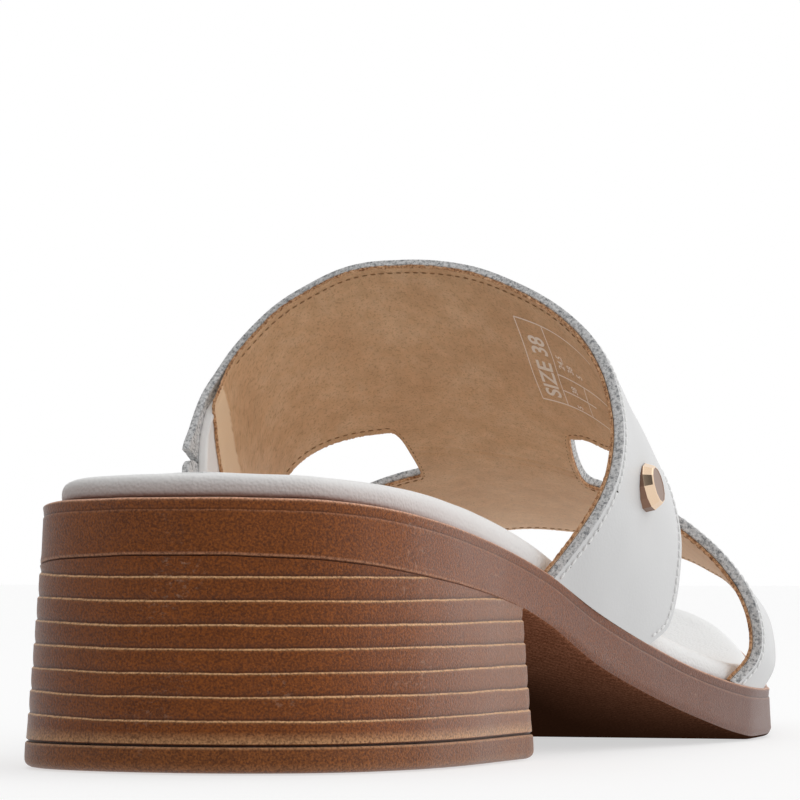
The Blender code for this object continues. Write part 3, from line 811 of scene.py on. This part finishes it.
def slot_edges(s, side):
    """Back and front edge of the side opening at s. They meet above its round end."""
    start, crown, *corners = SLOT_END[side]
    back = cuts[side][1](s)
    front = cuts[side][2](s)
    top = back + (front - back) * (0.5 + (crown - 0.5) * np.minimum(s / start, 1.0))
    opened = []
    for span, square in (corners[:2], corners[2:]):
        share = np.clip((s - start) / span, 0, 1)
        opened.append((1 - (1 - share) ** square) ** (1 / square))
    return top - (top - back) * opened[0], top + (front - top) * opened[1]


def slack(points):
    """How far the leather stands off its form at each point: long soft waves of use."""
    flat = points.reshape(-1, 3)
    waves = [
        noise.noise(Vector(p) * 0.045) * 0.5 + noise.noise(Vector(p) * 0.11) * 0.2 for p in flat
    ]
    return np.array(waves).reshape(points.shape[:-1])


# Across a strap: distances from its edge of the first rows, in mm, then even rows between.
EDGE_ROWS = (0.12, 0.34, 0.6, 0.85, 1.1, 1.35, 1.65, 2.1, 2.8)
RIM_ROWS = (0.1, 0.3, 0.5, 0.7, 0.9)


class Sheet:
    """Collects the strips of one cut piece of sheet: its faces, raw rims, marks and pattern."""

    def __init__(self):
        self.points = []
        self.faces = []
        self.index = []
        self.chart = []

    def strip(self, side, s, edges, depths, middle=24, joined=(None, None), ragged=0.0, shift=0.0):
        """One strip: s is an array of columns over share of width, and edges(s) its two edges.
        depths(s, y, d) gives outer and inner depth. joined names the s above which the back or
        front edge has no rim, because the next strip carries on there."""
        even = np.arange(1, middle) / middle
        last = EDGE_ROWS[-1]
        rows = [(0.0, d, 0.0) for d in EDGE_ROWS]
        rows += [(a, last * (1 - 2 * a), 0.0) for a in even]
        rows += [(1.0, -d, 0.0) for d in reversed(EDGE_ROWS)]
        face = len(rows)
        rows += [(1.0, 0.0, e) for e in RIM_ROWS]
        rows += [(a, b, 1.0) for a, b, _ in reversed(rows[:face])]
        rows += [(0.0, 0.0, e) for e in reversed(RIM_ROWS)]
        share, offset, deep = (np.array(v) for v in zip(*rows))
        count = len(rows)
        s = s(share) if callable(s) else np.repeat(s[:, None], count, axis=1)
        back, front = edges(s)
        back = back - shift
        front = front + shift
        first = np.abs(offset) == EDGE_ROWS[0]
        push = np.repeat(offset[None, :], len(s), axis=0)
        rim = deep * (1 - deep) > 0
        for ends, limit in ((share < 0.5, joined[0]), (share > 0.5, joined[1])):
            if limit is not None:
                closed = s[:, 0] <= limit + 1e-9
                push[np.ix_(closed, first & ends)] = 0.0
        if ragged:
            for i in range(len(s)):
                for j in np.nonzero(rim | first)[0]:
                    jag = noise.noise(Vector((s[i, j] * 150, deep[j] * 2.0, share[j] * 50 + side)))
                    fine = noise.noise(Vector((s[i, j] * 420, deep[j] * 3.0, share[j] * 50 + side)))
                    push[i, j] += (2 * share[j] - 1) * ragged * (jag + 0.7 * fine)
        y = back * (1 - share) + front * share + push
        place, normal = wall(s, y, side)
        distance = np.minimum(np.abs(y - back), np.abs(front - y))
        low, high = depths(s, y, distance)
        depth = low + (high - low) * deep - slack(place)
        place = place - normal * depth[..., None]
        start = len(self.points)
        self.points += place.reshape(-1, 3).tolist()
        self.chart += np.stack([side * s * PATTERN, y], axis=-1).reshape(-1, 2).tolist()
        for i in range(len(s) - 1):
            for j in range(count):
                k = (j + 1) % count
                is_rim = rim[j] or rim[k]
                limit = joined[1] if share[j] > 0.5 else joined[0]
                if is_rim and limit is not None and s[i + 1, j] <= limit + 1e-9:
                    continue
                a = start + i * count
                quad = (a + j, a + count + j, a + count + k, a + k)
                self.faces.append(quad if side > 0 else quad[::-1])
                self.index.append(1 if is_rim else (0 if deep[j] < 0.5 else 2))
        foot = tuple(range(start + (len(s) - 1) * count, start + len(s) * count))
        self.faces.append(foot if side > 0 else foot[::-1])
        self.index.append(1)

    def piece(self, name, materials, marks=None):
        """The piece as a mesh. materials are for the face, the rim and the back."""
        return mesh_object(name, self.points, self.faces, materials, self.index, marks, self.chart)


def columns_of(side, bridge, rounding, rest):
    """Values of s from the ridge to the sole, close together round the opening's upper end."""
    start, _, _, _, span, _ = SLOT_END[side]
    turn = (np.arange(rounding) / rounding) ** 1.8
    first = start + span
    over = np.arange(bridge) * start / bridge
    below = first + (1 - first) * np.arange(rest + 1) / rest
    return np.concatenate([over, start + span * turn, below])


def slanted(values, ends):
    """Columns that end at a slanted cut: s of the cut at the back and at the front edge."""

    def s(share):
        end = ends[0] + (ends[1] - ends[0]) * share[None, :]
        v = values[:, None]
        moved = HELD_SPAN + (v - HELD_SPAN) * (end - HELD_SPAN) / (1 - HELD_SPAN)
        return np.where(v > HELD_SPAN, moved, v + 0 * end)

    return s


STITCH_INSET = 1.35


def smooth(low, high, at):
    t = np.clip((at - low) / (high - low), 0, 1)
    return t * t * (3 - 2 * t)


def thickness(s, side):
    """Of the white leather: it is left fuller where the outer leg carries the stud."""
    thin, full = OUTER_THICKNESS
    return thin + (full - thin) * smooth(0.3, 0.55, s) * (side == OUTER)


def outer_depths(side):
    def depths(s, y, distance):
        trough = 0.07 * np.exp(-(((distance - STITCH_INSET) / 0.45) ** 2))
        return trough, thickness(s, side)

    return depths


# Full-grain calf with a pigmented white finish: even, faintly grained, with a satin sheen.
outer_leather = grained_leather("white_calf_leather", "#e2e2e2", "#dddddd", 0.45, 0.07, 0.4)


# The same leather where it is cut: grey fibres, mottled dark and light, with no sheen.
def cut_fibre(name, light, mid, dark, fibre_mm):
    material, tree, shader = new_material(name, Roughness=0.9)
    place = add_node(tree, "TexCoord").outputs["Object"]
    fibres = add_node(
        tree, "TexNoise",
        {"Vector": place, "Scale": 1000.0 / fibre_mm, "Detail": 4.0, "Roughness": 0.7},
    )
    ramp = add_node(tree, "ValToRGB", {"Fac": fibres})
    ramp.color_ramp.elements[0].position = 0.36
    ramp.color_ramp.elements[0].color = linear(dark)
    ramp.color_ramp.elements[1].position = 0.66
    ramp.color_ramp.elements[1].color = linear(light)
    ramp.color_ramp.elements.new(0.5).color = linear(mid)
    fuzz = add_node(tree, "Bump", {"Strength": 0.8, "Distance": 0.00025, "Height": fibres})
    set_inputs(shader, {"Base Color": ramp, "Normal": fuzz})
    return material


grey_fibre = cut_fibre("leather_cut_edge", "#f0f0f0", "#d4d4d4", "#85878a", 0.55)
upper = Sheet()
for side in (OUTER, INNER):
    values = columns_of(side, 24, 14, 100)
    start = SLOT_END[side][0]
    rear = slanted(values, BAND_END) if side == INNER else values
    rear_edges = lambda s: (cuts[side][0](s), slot_edges(s, side)[0])
    front_edges = lambda s: (slot_edges(s, side)[1], cuts[side][3](s))
    upper.strip(side, rear, rear_edges, outer_depths(side), joined=(None, start))
    upper.strip(side, values, front_edges, outer_depths(side), joined=(start, None))
leather = upper.piece("upper_outer_leather", [outer_leather, grey_fibre, grey_fibre])
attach(leather, "root")
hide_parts("upper")

# ------------------------------------------------------------------------------ inner leg tab
# The foot of the inner leg, a separate piece of the same leather with rounded upper corners.
# It stands outside the elastic, which joins it to the band.
TAB_TOP = (0.72, 0.785)
TAB_CORNER = 3.0
TAB_ROUNDING = 0.04
tab_middle = sum(TAB_TOP) / 2
steps = np.concatenate([TAB_ROUNDING * (np.arange(12) / 12) ** 2, np.linspace(TAB_ROUNDING, 1, 40)])


def tab_s(share):
    top = TAB_TOP[0] + (TAB_TOP[1] - TAB_TOP[0]) * share[None, :]
    return top + (1 - top) * steps[:, None]


def tab_edges(s):
    level = tab_middle + (1 - tab_middle) * steps[:, None]
    share = np.clip((level - tab_middle) / TAB_ROUNDING, 0, 1)
    pulled = TAB_CORNER * (1 - np.sqrt(1 - (1 - share) ** 2)) + 0 * s
    return cuts[INNER][0](s) + pulled, cuts[INNER][1](s) - pulled


tab = Sheet()
tab.strip(INNER, tab_s, tab_edges, outer_depths(INNER), middle=16)
head = tuple(range(len(tab.points) // len(steps)))
tab.faces.append(head)
tab.index.append(1)
tab_leather = tab.piece("inner_leg_tab_leather", [outer_leather, grey_fibre, grey_fibre])
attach(tab_leather, "root")
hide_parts("inner_leg_tab")

# ----------------------------------------------------------------------------- lining leather
# Thin undyed tan lining, glued inside the bands and sewn along every edge. Its edge is trimmed
# by hand, so that it is a little ragged. Down the inner leg it stops short of the collar edge
# and lies over the elastic.
LINING_BED = 0.1  # glue between it and the white leather
LINING_THICKNESS = 0.55
LINING_LIFT = 1.2
LINING_STITCH = 1.1
LINING_OUT = 0.12
LINING_RAGGED = 0.22
LINING_UPRIGHT = (0.56, 94.3)  # s and y where its back edge leaves the collar, down the inner leg
# front edge of a paler strip of the lining down the inner leg: s, y
LINING_STRIP = (
    (0.48, 60.0),
    (0.51, 96.0),
    (0.52, 97.4),
    (0.545, 99.8),
    (0.59, 102.2),
    (0.65, 105.3),
    (0.8, 110.0),
)


def lining_back(s, side):
    """Back edge of the rear lining: the collar, but nearly upright down the inner leg."""
    collar = cuts[side][0](s)
    if side == OUTER:
        return collar
    upright = LINING_UPRIGHT[1] + (s - LINING_UPRIGHT[0]) * 13.0
    return collar + (np.maximum(upright, collar) - collar) * smooth(LINING_UPRIGHT[0], 0.61, s)


def lining_depths(side, rear):
    def depths(s, y, distance):
        top = thickness(s, side) + LINING_BED
        if rear and side == INNER:
            top = top + LINING_LIFT * smooth(0.44, 0.56, s) * (1 - 0.7 * smooth(114.0, 120.0, y))
        trough = 0.16 * np.exp(-(((distance - LINING_STITCH) / 0.4) ** 2))
        return top, top + LINING_THICKNESS - trough

    return depths


# Vegetable-tanned sheepskin: matt tan, with short upright hairlines and fine pores.
def tan_lining(name, light, mid, dark, line):
    material, tree, shader = new_material(name, Roughness=0.75)
    place = add_node(tree, "TexCoord").outputs["Object"]
    drawn = add_node(
        tree, "Mapping",
        {"Vector": place, "Scale": (2900.0, 2900.0, 700.0), "Rotation": (0.0, 0.2, 0.0)},
    )
    hair = add_node(
        tree, "TexNoise", {"Vector": drawn, "Scale": 1.0, "Detail": 3.0, "Roughness": 0.6}
    )
    cloud = add_node(
        tree, "TexNoise", {"Vector": place, "Scale": 140.0, "Detail": 6.0, "Roughness": 0.7}
    )
    ramp = add_node(tree, "ValToRGB", {"Fac": cloud})
    ramp.color_ramp.elements[0].position = 0.32
    ramp.color_ramp.elements[0].color = linear(dark)
    ramp.color_ramp.elements[1].position = 0.68
    ramp.color_ramp.elements[1].color = linear(light)
    ramp.color_ramp.elements.new(0.5).color = linear(mid)
    strokes = add_node(
        tree, "MapRange", {"Value": hair, "From Min": 0.47, "From Max": 0.36, "To Max": 0.45}
    )
    lined = add_node(
        tree, "Mix", {"Factor": strokes, "A": ramp, "B": linear(line)}, data_type="RGBA"
    )
    brushed = add_node(
        tree, "Mapping",
        {"Vector": place, "Scale": (500.0, 500.0, 130.0), "Rotation": (0.0, 0.75, 0.3)},
    )
    nap = add_node(
        tree, "TexNoise", {"Vector": brushed, "Scale": 1.0, "Detail": 4.0, "Roughness": 0.65}
    )
    lying = add_node(
        tree, "MapRange",
        {"Value": nap, "From Min": 0.35, "From Max": 0.65, "To Min": 0.94, "To Max": 1.05},
    )
    lined = add_node(tree, "VectorMath", {0: lined, "Scale": lying}, operation="SCALE")
    bare = add_node(tree, "Attribute", attribute_name="skived").outputs["Fac"]
    final = add_node(
        tree, "Mix", {"Factor": bare, "A": lined, "B": linear("#f6d5b0")}, data_type="RGBA"
    )
    # painted light: the lining turns paler towards its foot, standing in for light the white insole
    # throws up onto it
    height = add_node(tree, "SeparateXYZ", {"Vector": place}).outputs["Z"]
    low = add_node(
        tree, "MapRange", {"Value": height, "From Min": 0.05, "From Max": 0.024, "To Max": 0.6}
    )
    with_painted_bounce = add_node(
        tree, "Mix", {"Factor": low, "A": final, "B": linear("#ffe6cf")}, data_type="RGBA"
    )
    bump = add_node(tree, "Bump", {"Strength": 0.5, "Distance": 0.00018, "Height": hair})
    set_inputs(shader, {"Base Color": with_painted_bounce, "Normal": bump})
    return material


sheepskin = tan_lining("tan_sheepskin_lining", "#e5bf98", "#dcb288", "#d2a67c", "#a57a54")
raw_tan = cut_fibre("lining_cut_edge", "#efc49c", "#cd986c", "#7d5031", 0.5)
lining = Sheet()
for side in (OUTER, INNER):
    values = columns_of(side, 36, 16, 200)
    start = SLOT_END[side][0]
    rear_edges = lambda s: (lining_back(s, side), slot_edges(s, side)[0])
    front_edges = lambda s: (slot_edges(s, side)[1], cuts[side][3](s))
    halves = ((rear_edges, True, (None, start)), (front_edges, False, (start, None)))
    for edges, rear, joined in halves:
        depths = lining_depths(side, rear)
        lining.strip(
            side, values, edges, depths, joined=joined, ragged=LINING_RAGGED, shift=LINING_OUT
        )
flat = np.array(lining.chart)
seam = np.interp(-flat[:, 0] / PATTERN, *zip(*LINING_STRIP))
skived = 1 - smooth(-0.2, 0.2, flat[:, 1] - seam)
lining_piece = lining.piece("upper_lining", [sheepskin, raw_tan, sheepskin], {"skived": skived})
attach(lining_piece, "root")

# ------------------------------------------------------------------------------------ elastic
# White woven elastic webbing between leather and lining, with a rolled selvedge along its free
# edge. It joins the two parts of the inner leg.
ELASTIC_TOP = 0.53
FOOT_LEVEL = 0.985  # s where the elastic and the seams end, just above the sole
ELASTIC_EDGE = ((0.53, 97.5), (0.58, 94.2), (0.65, 91.4), (0.74, 88.5), (FOOT_LEVEL, 80.0))  # s, y
ELASTIC_COLUMNS = 70
ELASTIC_WIDTH = 18.5
ELASTIC_DEPTH = (1.5, 2.5)
SELVEDGE = 0.85


def elastic_edges(s):
    back = np.interp(s, *zip(*ELASTIC_EDGE))
    return back, back + ELASTIC_WIDTH


def elastic_depths(s, y, distance):
    rolled = np.sqrt(np.clip(1 - ((distance - SELVEDGE / 2) / (SELVEDGE / 2)) ** 2, 0, 1)) * 0.3
    return ELASTIC_DEPTH[0] - rolled, ELASTIC_DEPTH[1] + rolled


# Rubber threads wound with white polyester: matt, ribbed across at each thread.
def woven_elastic(name, light, shade, thread_mm):
    material, tree, shader = new_material(name, Roughness=0.8)
    chart = add_node(tree, "UVMap", uv_map="pattern").outputs["UV"]
    ribs = add_node(
        tree, "TexWave",
        {"Vector": chart, "Scale": 1000.0 / thread_mm / 20.0, "Distortion": 0.4, "Detail": 2.0},
        wave_type="BANDS", bands_direction="Y", wave_profile="SIN",
    )
    picks = add_node(
        tree, "TexNoise", {"Vector": chart, "Scale": 2200.0, "Detail": 3.0, "Roughness": 0.7}
    )
    height = add_node(
        tree, "Mix", {"Factor": 0.6, "A": ribs.outputs["Fac"], "B": picks}, data_type="FLOAT"
    )
    colour = add_node(
        tree, "Mix", {"Factor": height, "A": linear(shade), "B": linear(light)}, data_type="RGBA"
    )
    bump = add_node(tree, "Bump", {"Strength": 0.4, "Distance": 0.0001, "Height": height})
    set_inputs(shader, {"Base Color": colour, "Normal": bump})
    return material


webbing = woven_elastic("woven_elastic", "#fffdfb", "#f4f1ee", 0.7)
band = Sheet()
down = np.linspace(ELASTIC_TOP, FOOT_LEVEL, ELASTIC_COLUMNS)
band.strip(INNER, down, elastic_edges, elastic_depths, middle=20)
band.faces.append(tuple(range(len(band.points) // ELASTIC_COLUMNS)))
band.index.append(1)
elastic = band.piece("inner_leg_elastic", [webbing] * 3)
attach(elastic, "root")
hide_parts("elastic")

# ----------------------------------------------------------------------------------- stitches
# Two-thread machine stitching along every cut edge: white bonded nylon outside, and inside the
# brown under-thread, sunk in the soft lining.
STITCH_PITCH = 1.45
HOLE_PITCH = 2.3
THREAD_UP = 0.05  # how far the thread's middle stands over the white leather
THREAD_DOWN = 0.1  # how far it lies past the lining's face
# the s where each of these begins or ends
TOE_SEAM_END = 0.5
HOLES_FROM = 0.8
LINING_SEAM_END = 0.43
SEAM_STOP = 0.015  # how far before a cut end of the band its seam stops


def inward_path(s, y, distance, turn):
    """A line on the pattern moved sideways by distance, to its left where turn is 1."""
    flat = np.column_stack([s * PATTERN, y])
    along = np.gradient(flat, axis=0)
    along /= np.linalg.norm(along, axis=1)[:, None]
    flat = flat + turn * distance * np.column_stack([-along[:, 1], along[:, 0]])
    return flat[:, 0] / PATTERN, flat[:, 1]


def collar_path(distance, low, back):
    s = np.linspace(0.0, low, 160)
    return inward_path(s, back(s), distance, 1)


def toe_path(side, distance):
    s = np.linspace(0.0, FOOT_LEVEL, 160)
    return inward_path(s, cuts[side][3](s), distance, -1)


def slot_path(side, distance, low):
    start, _, _, _, span, _ = SLOT_END[side]
    fine = start + span * (np.arange(60) / 60) ** 3
    rest = np.linspace(start + span, FOOT_LEVEL, 120)
    down = np.concatenate([fine, rest])
    back, front = slot_edges(down, side)
    keep = down[::-1] <= low
    s = np.concatenate([down[::-1][keep], down])
    y = np.concatenate([back[::-1][keep], front])
    return inward_path(s, y, distance, 1)


def line_on_wall(side, s, y, inside):
    """The points and outward directions of a line on the white leather, or inside on the lining."""
    place, normal = wall(s, y, side)
    depth = -THREAD_UP
    if inside:
        depth = lining_depths(side, True)(s, y, LINING_STITCH)[1] + THREAD_DOWN
    place = place - normal * (depth - slack(place))[..., None]
    return place, normal


def sewing_tree(thread):
    """Geometry nodes that lay one stitch after another along a line."""
    tree = bpy.data.node_groups.new("lockstitch_" + thread.name, "GeometryNodeTree")
    tree.interface.new_socket("Line", in_out="INPUT", socket_type="NodeSocketGeometry")
    for name in ("Pitch", "Length", "Width", "Height", "Slant"):
        tree.interface.new_socket(name, in_out="INPUT", socket_type="NodeSocketFloat")
    tree.interface.new_socket("Stitches", in_out="OUTPUT", socket_type="NodeSocketGeometry")
    given = add_node(tree, "NodeGroupInput").outputs
    curve = add_node(tree, "GeometryNodeMeshToCurve", {"Mesh": given["Line"]})
    even = add_node(
        tree, "GeometryNodeResampleCurve", {"Curve": curve, "Length": given["Pitch"]},
        mode="LENGTH",
    )
    spots = add_node(tree, "GeometryNodeCurveToPoints", {"Curve": even}, mode="EVALUATED")
    out = add_node(
        tree, "GeometryNodeInputNamedAttribute", {"Name": "out"}, data_type="FLOAT_VECTOR"
    )
    upright = add_node(tree, "FunctionNodeAlignRotationToVector", {"Vector": out}, axis="Z")
    along = add_node(
        tree, "FunctionNodeAlignRotationToVector",
        {"Rotation": upright, "Vector": spots.outputs["Tangent"]}, axis="X", pivot_axis="Z",
    )
    uneven = add_node(
        tree, "FunctionNodeRandomValue", {2: -0.09, 3: 0.09, "Seed": 7}, data_type="FLOAT"
    )
    lean = add_node(tree, "Math", {0: given["Slant"], 1: uneven}, operation="ADD")
    twist = add_node(tree, "CombineXYZ", {"Z": lean})
    turned = add_node(tree, "FunctionNodeEulerToRotation", {"Euler": twist})
    laid = add_node(
        tree, "FunctionNodeRotateRotation", {"Rotation": along, "Rotate By": turned},
        rotation_space="LOCAL",
    )
    size = add_node(
        tree, "CombineXYZ", {"X": given["Length"], "Y": given["Width"], "Z": given["Height"]}
    )
    stitch = add_node(tree, "GeometryNodeMeshUVSphere", {"Segments": 8, "Rings": 5, "Radius": 0.5})
    laid_out = add_node(
        tree, "GeometryNodeInstanceOnPoints",
        {"Points": spots, "Instance": stitch, "Rotation": laid, "Scale": size},
    )
    real = add_node(tree, "GeometryNodeRealizeInstances", {"Geometry": laid_out})
    smooth_faces = add_node(tree, "GeometryNodeSetShadeSmooth", {"Geometry": real})
    finish = add_node(
        tree, "GeometryNodeSetMaterial", {"Geometry": smooth_faces, "Material": thread}
    )
    add_node(tree, "NodeGroupOutput", {"Stitches": finish})
    return tree


def sew(name, lines, thread, pitch, length, width, height, slant=0.0):
    """Stitches along lines of (points, outward directions), as one plain mesh."""
    sizes = {"Pitch": pitch * MM, "Length": length * MM, "Width": width * MM}
    sizes |= {"Height": height * MM, "Slant": slant}
    mesh = bpy.data.meshes.new(name + "_line")
    points = np.concatenate([line[0] for line in lines])
    outward = np.concatenate([line[1] for line in lines])
    edges = []
    first = 0
    for line in lines:
        edges += [(first + i, first + i + 1) for i in range(len(line[0]) - 1)]
        first += len(line[0])
    mesh.from_pydata(((points - (*MIDDLE, 0.0)) * MM).tolist(), edges, [])
    mesh.attributes.new("out", "FLOAT_VECTOR", "POINT").data.foreach_set("vector", outward.ravel())
    guide = bpy.data.objects.new(name + "_line", mesh)
    bpy.context.scene.collection.objects.link(guide)
    modifier = guide.modifiers.new("sewing", "NODES")
    modifier.node_group = sewing_tree(thread)
    for item in modifier.node_group.interface.items_tree:
        if item.in_out == "INPUT" and item.name in sizes:
            modifier[item.identifier] = sizes[item.name]
    graph = bpy.context.evaluated_depsgraph_get()
    sewn = bpy.data.meshes.new_from_object(guide.evaluated_get(graph))
    bpy.data.objects.remove(guide)
    sewn.name = name
    piece = bpy.data.objects.new(name, sewn)
    bpy.context.scene.collection.objects.link(piece)
    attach(piece, "root")
    return piece


# Bonded nylon thread: smooth white, softly shiny. Spun polyester inside: dull dark brown.
white_thread, _, _ = new_material("white_nylon_thread", Base_Color=linear("#f8f8f7"), Roughness=0.5)
brown_thread, _, _ = new_material(
    "brown_polyester_thread", Base_Color=linear("#9c7650"), Roughness=0.9
)


def edge_lines(distance, inside, inner_ends, inner_back):
    """The seams of the upper at one distance from its edges, over both sides."""
    collar = collar_path(distance, FOOT_LEVEL, cuts[OUTER][0])
    toe = toe_path(OUTER, distance)
    if not inside:  # on the face, this seam stops halfway down the outer leg
        toe = [v[toe[0] < TOE_SEAM_END] for v in toe]
    lines = []
    for right, left in (
        (collar, collar_path(distance, inner_ends[0], inner_back)),
        (toe, toe_path(INNER, distance)),
    ):
        place, normal = line_on_wall(OUTER, right[0][::-1], right[1][::-1], inside)
        more, out = line_on_wall(INNER, left[0][1:], left[1][1:], inside)
        lines.append((np.concatenate([place, more]), np.concatenate([normal, out])))
    for side, low in ((OUTER, 1.0), (INNER, inner_ends[1])):
        s, y = slot_path(side, distance, low)
        lines.append(line_on_wall(side, s, y, inside))
    return lines


seam_ends = (BAND_END[0] - SEAM_STOP, BAND_END[1] - SEAM_STOP)
white_lines = edge_lines(STITCH_INSET, False, seam_ends, cuts[INNER][0])
sew("outer_stitching", white_lines, white_thread, STITCH_PITCH, 1.3, 0.5, 0.42, slant=0.1)
# Low on the outer leg the thread has sunk away, and the needle's holes show dark: small marks in
# painted shade stand for them.
s, y = collar_path(STITCH_INSET + 0.15, 0.965, cuts[OUTER][0])
holes = line_on_wall(OUTER, s[s > HOLES_FROM], y[s > HOLES_FROM], False)
hole_painted_shade, _, _ = new_material("needle_hole_painted_shade", Base_Color=linear("#3a2c22"), Roughness=1.0)
sew("needle_holes", [holes], hole_painted_shade, HOLE_PITCH, 0.36, 0.3, 0.3, slant=0.4)
brown_lines = edge_lines(
    LINING_STITCH, True, (LINING_SEAM_END, FOOT_LEVEL), lambda s: lining_back(s, INNER)
)
brown_lines = [(place, -out) for place, out in brown_lines]
sew("lining_stitching", brown_lines, brown_thread, STITCH_PITCH, 0.95, 0.26, 0.2)

# ------------------------------------------------------------------------------- size marking
# A ruled box with plain size numbers, printed in pale ink on the lining of the outer leg.
PRINT_PLACE = (28.1, 108.2)  # its corner on the flat pattern
PRINT_TURN = math.radians(-9.8)
CLEAR_OF_SEAM = 9.0  # from the edge, past the trough of its seam
PRINT_LINES = (  # from and to, across and down the box, in mm
    ((0, 0), (0, 17)),
    ((8.2, 0), (8.2, 17)),
    ((0, 0), (26, 0)),
    ((0, 17), (26, 17)),
    ((8.2, 10.2), (26, 10.2)),
    ((8.2, 13.6), (20, 13.6)),
    ((17, 10.2), (17, 17)),
)
PRINT_WORDS = (  # text, place of its foot, height of its capitals
    ("SIZE 38", (6.7, 15.9), 4.6),
    ("24.5", (11.4, 8.6), 1.9),
    ("38", (14.4, 8.6), 1.9),
    ("5", (17.4, 8.6), 1.9),
    ("38", (13.6, 13.2), 1.8),
    ("5", (13.6, 16.6), 1.8),
)
PRINT_PEN = 0.14  # half the width of a ruled line
PRINT_STEPS = 23  # along a ruled line, so that it follows the leather
CAPITAL_SHARE = 0.7  # height of a capital in the font's size
LETTER_GAIN = 0.03  # how much bolder the letters are made, per mm of height
LETTER_WIDTH = 0.62  # letters are set narrower than the font draws them
ink, _, _ = new_material("pale_printing_ink", Base_Color=linear("#fff0e2"), Roughness=0.85)


def printed(across, down):
    """The point of the lining's face at a place in the box."""
    cos, sin = math.cos(PRINT_TURN), math.sin(PRINT_TURN)
    turn = np.array([[cos, sin], [-sin, cos]])
    flat = np.column_stack([across, down]) @ turn + PRINT_PLACE
    s, y = flat[:, 0] / PATTERN, flat[:, 1]
    place, normal = wall(s, y, OUTER)
    depth = lining_depths(OUTER, True)(s, y, CLEAR_OF_SEAM)[1] + 0.03
    return place - normal * (depth - slack(place))[..., None]


points = []
faces = []
for (x0, y0), (x1, y1) in PRINT_LINES:
    share = np.linspace(0, 1, PRINT_STEPS + 1)
    wide = PRINT_PEN if x0 == x1 else 0.0
    tall = PRINT_PEN - wide
    first = len(points)
    for turn in (-1, 1):
        across = x0 + (x1 - x0) * share + wide * turn
        points += printed(across, y0 + (y1 - y0) * share + tall * turn).tolist()
    for i in range(first, first + PRINT_STEPS):
        faces.append((i, i + 1, i + PRINT_STEPS + 2, i + PRINT_STEPS + 1))
for text, (across, down), capitals in PRINT_WORDS:
    curve = bpy.data.curves.new("size_text", "FONT")
    curve.body = text
    curve.size = capitals / CAPITAL_SHARE
    curve.offset = LETTER_GAIN * capitals
    letters = bpy.data.objects.new("size_text", curve)
    bpy.context.scene.collection.objects.link(letters)
    graph = bpy.context.evaluated_depsgraph_get()
    cut = bpy.data.meshes.new_from_object(letters.evaluated_get(graph))
    bpy.data.objects.remove(letters)
    flat = np.array([v.co[:2] for v in cut.vertices])
    first = len(points)
    points += printed(across - flat[:, 1], down - LETTER_WIDTH * flat[:, 0]).tolist()
    faces += [tuple(first + k for k in reversed(f.vertices)) for f in cut.polygons]
marking = mesh_object("lining_size_marking", points, faces, [ink], weld=0.0005)
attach(marking, "root")

# --------------------------------------------------------------------------------------- stud
# Die-cast twelve-sided cap in polished rose gold, riveted through the outer leg. Its flat face
# is left plain. Its face and two bands of its side are painted darker: painted dark reflections.
STUD_PLACE = (0.733, 101.4)
STUD_SIDES = 12
STUD_LEAN = (-0.05, 0.03, 0.17)  # added to the leather's own direction, which bulges there
# radius and height of each ring
STUD_RINGS = (
    (3.85, -1.2),
    (3.85, 0.5),
    (3.75, 0.65),
    (3.15, 1.8),
    (3.02, 1.93),
    (2.82, 1.97),
    (2.68, 1.9),
)
STUD_PAINTED_DARK = (0, 5)  # bands of its side in the painted dark reflection, from below
rose_gold, _, _ = new_material(
    "polished_rose_gold", Base_Color=linear("#ebcfb2"), Metallic=1.0, Roughness=0.1
)
# the same polished metal, darker: painted dark reflection
gold_painted_dark, _, _ = new_material(
    "rose_gold_painted_dark_reflection", Base_Color=linear("#8a6c5b"), Metallic=1.0, Roughness=0.3
)
place, out = wall(np.array([STUD_PLACE[0]]), np.array([STUD_PLACE[1]]), OUTER)
centre = Vector(place[0])
out = (Vector(out[0]) + Vector(STUD_LEAN)).normalized()
side_way = Vector((0.0, 1.0, 0.0)).cross(out).normalized()
long_way = out.cross(side_way)
points = []
for radius, height in STUD_RINGS:
    for k in range(STUD_SIDES):
        angle = math.tau * k / STUD_SIDES
        away = side_way * math.cos(angle) + long_way * math.sin(angle)
        points.append(centre + away * radius + out * height)
faces = ring_faces(len(STUD_RINGS), STUD_SIDES)
faces.append(tuple(reversed(range(STUD_SIDES))))
faces.append(tuple(range(len(points) - STUD_SIDES, len(points))))
rims = [int(i // STUD_SIDES in STUD_PAINTED_DARK) for i in range(len(faces) - 2)] + [1, 1]
stud = mesh_object(
    "rose_gold_stud", [tuple(p) for p in points], faces, [rose_gold, gold_painted_dark], rims
)
stud.data.set_sharp_from_angle(angle=math.radians(12))
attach(stud, "root")
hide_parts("stud")
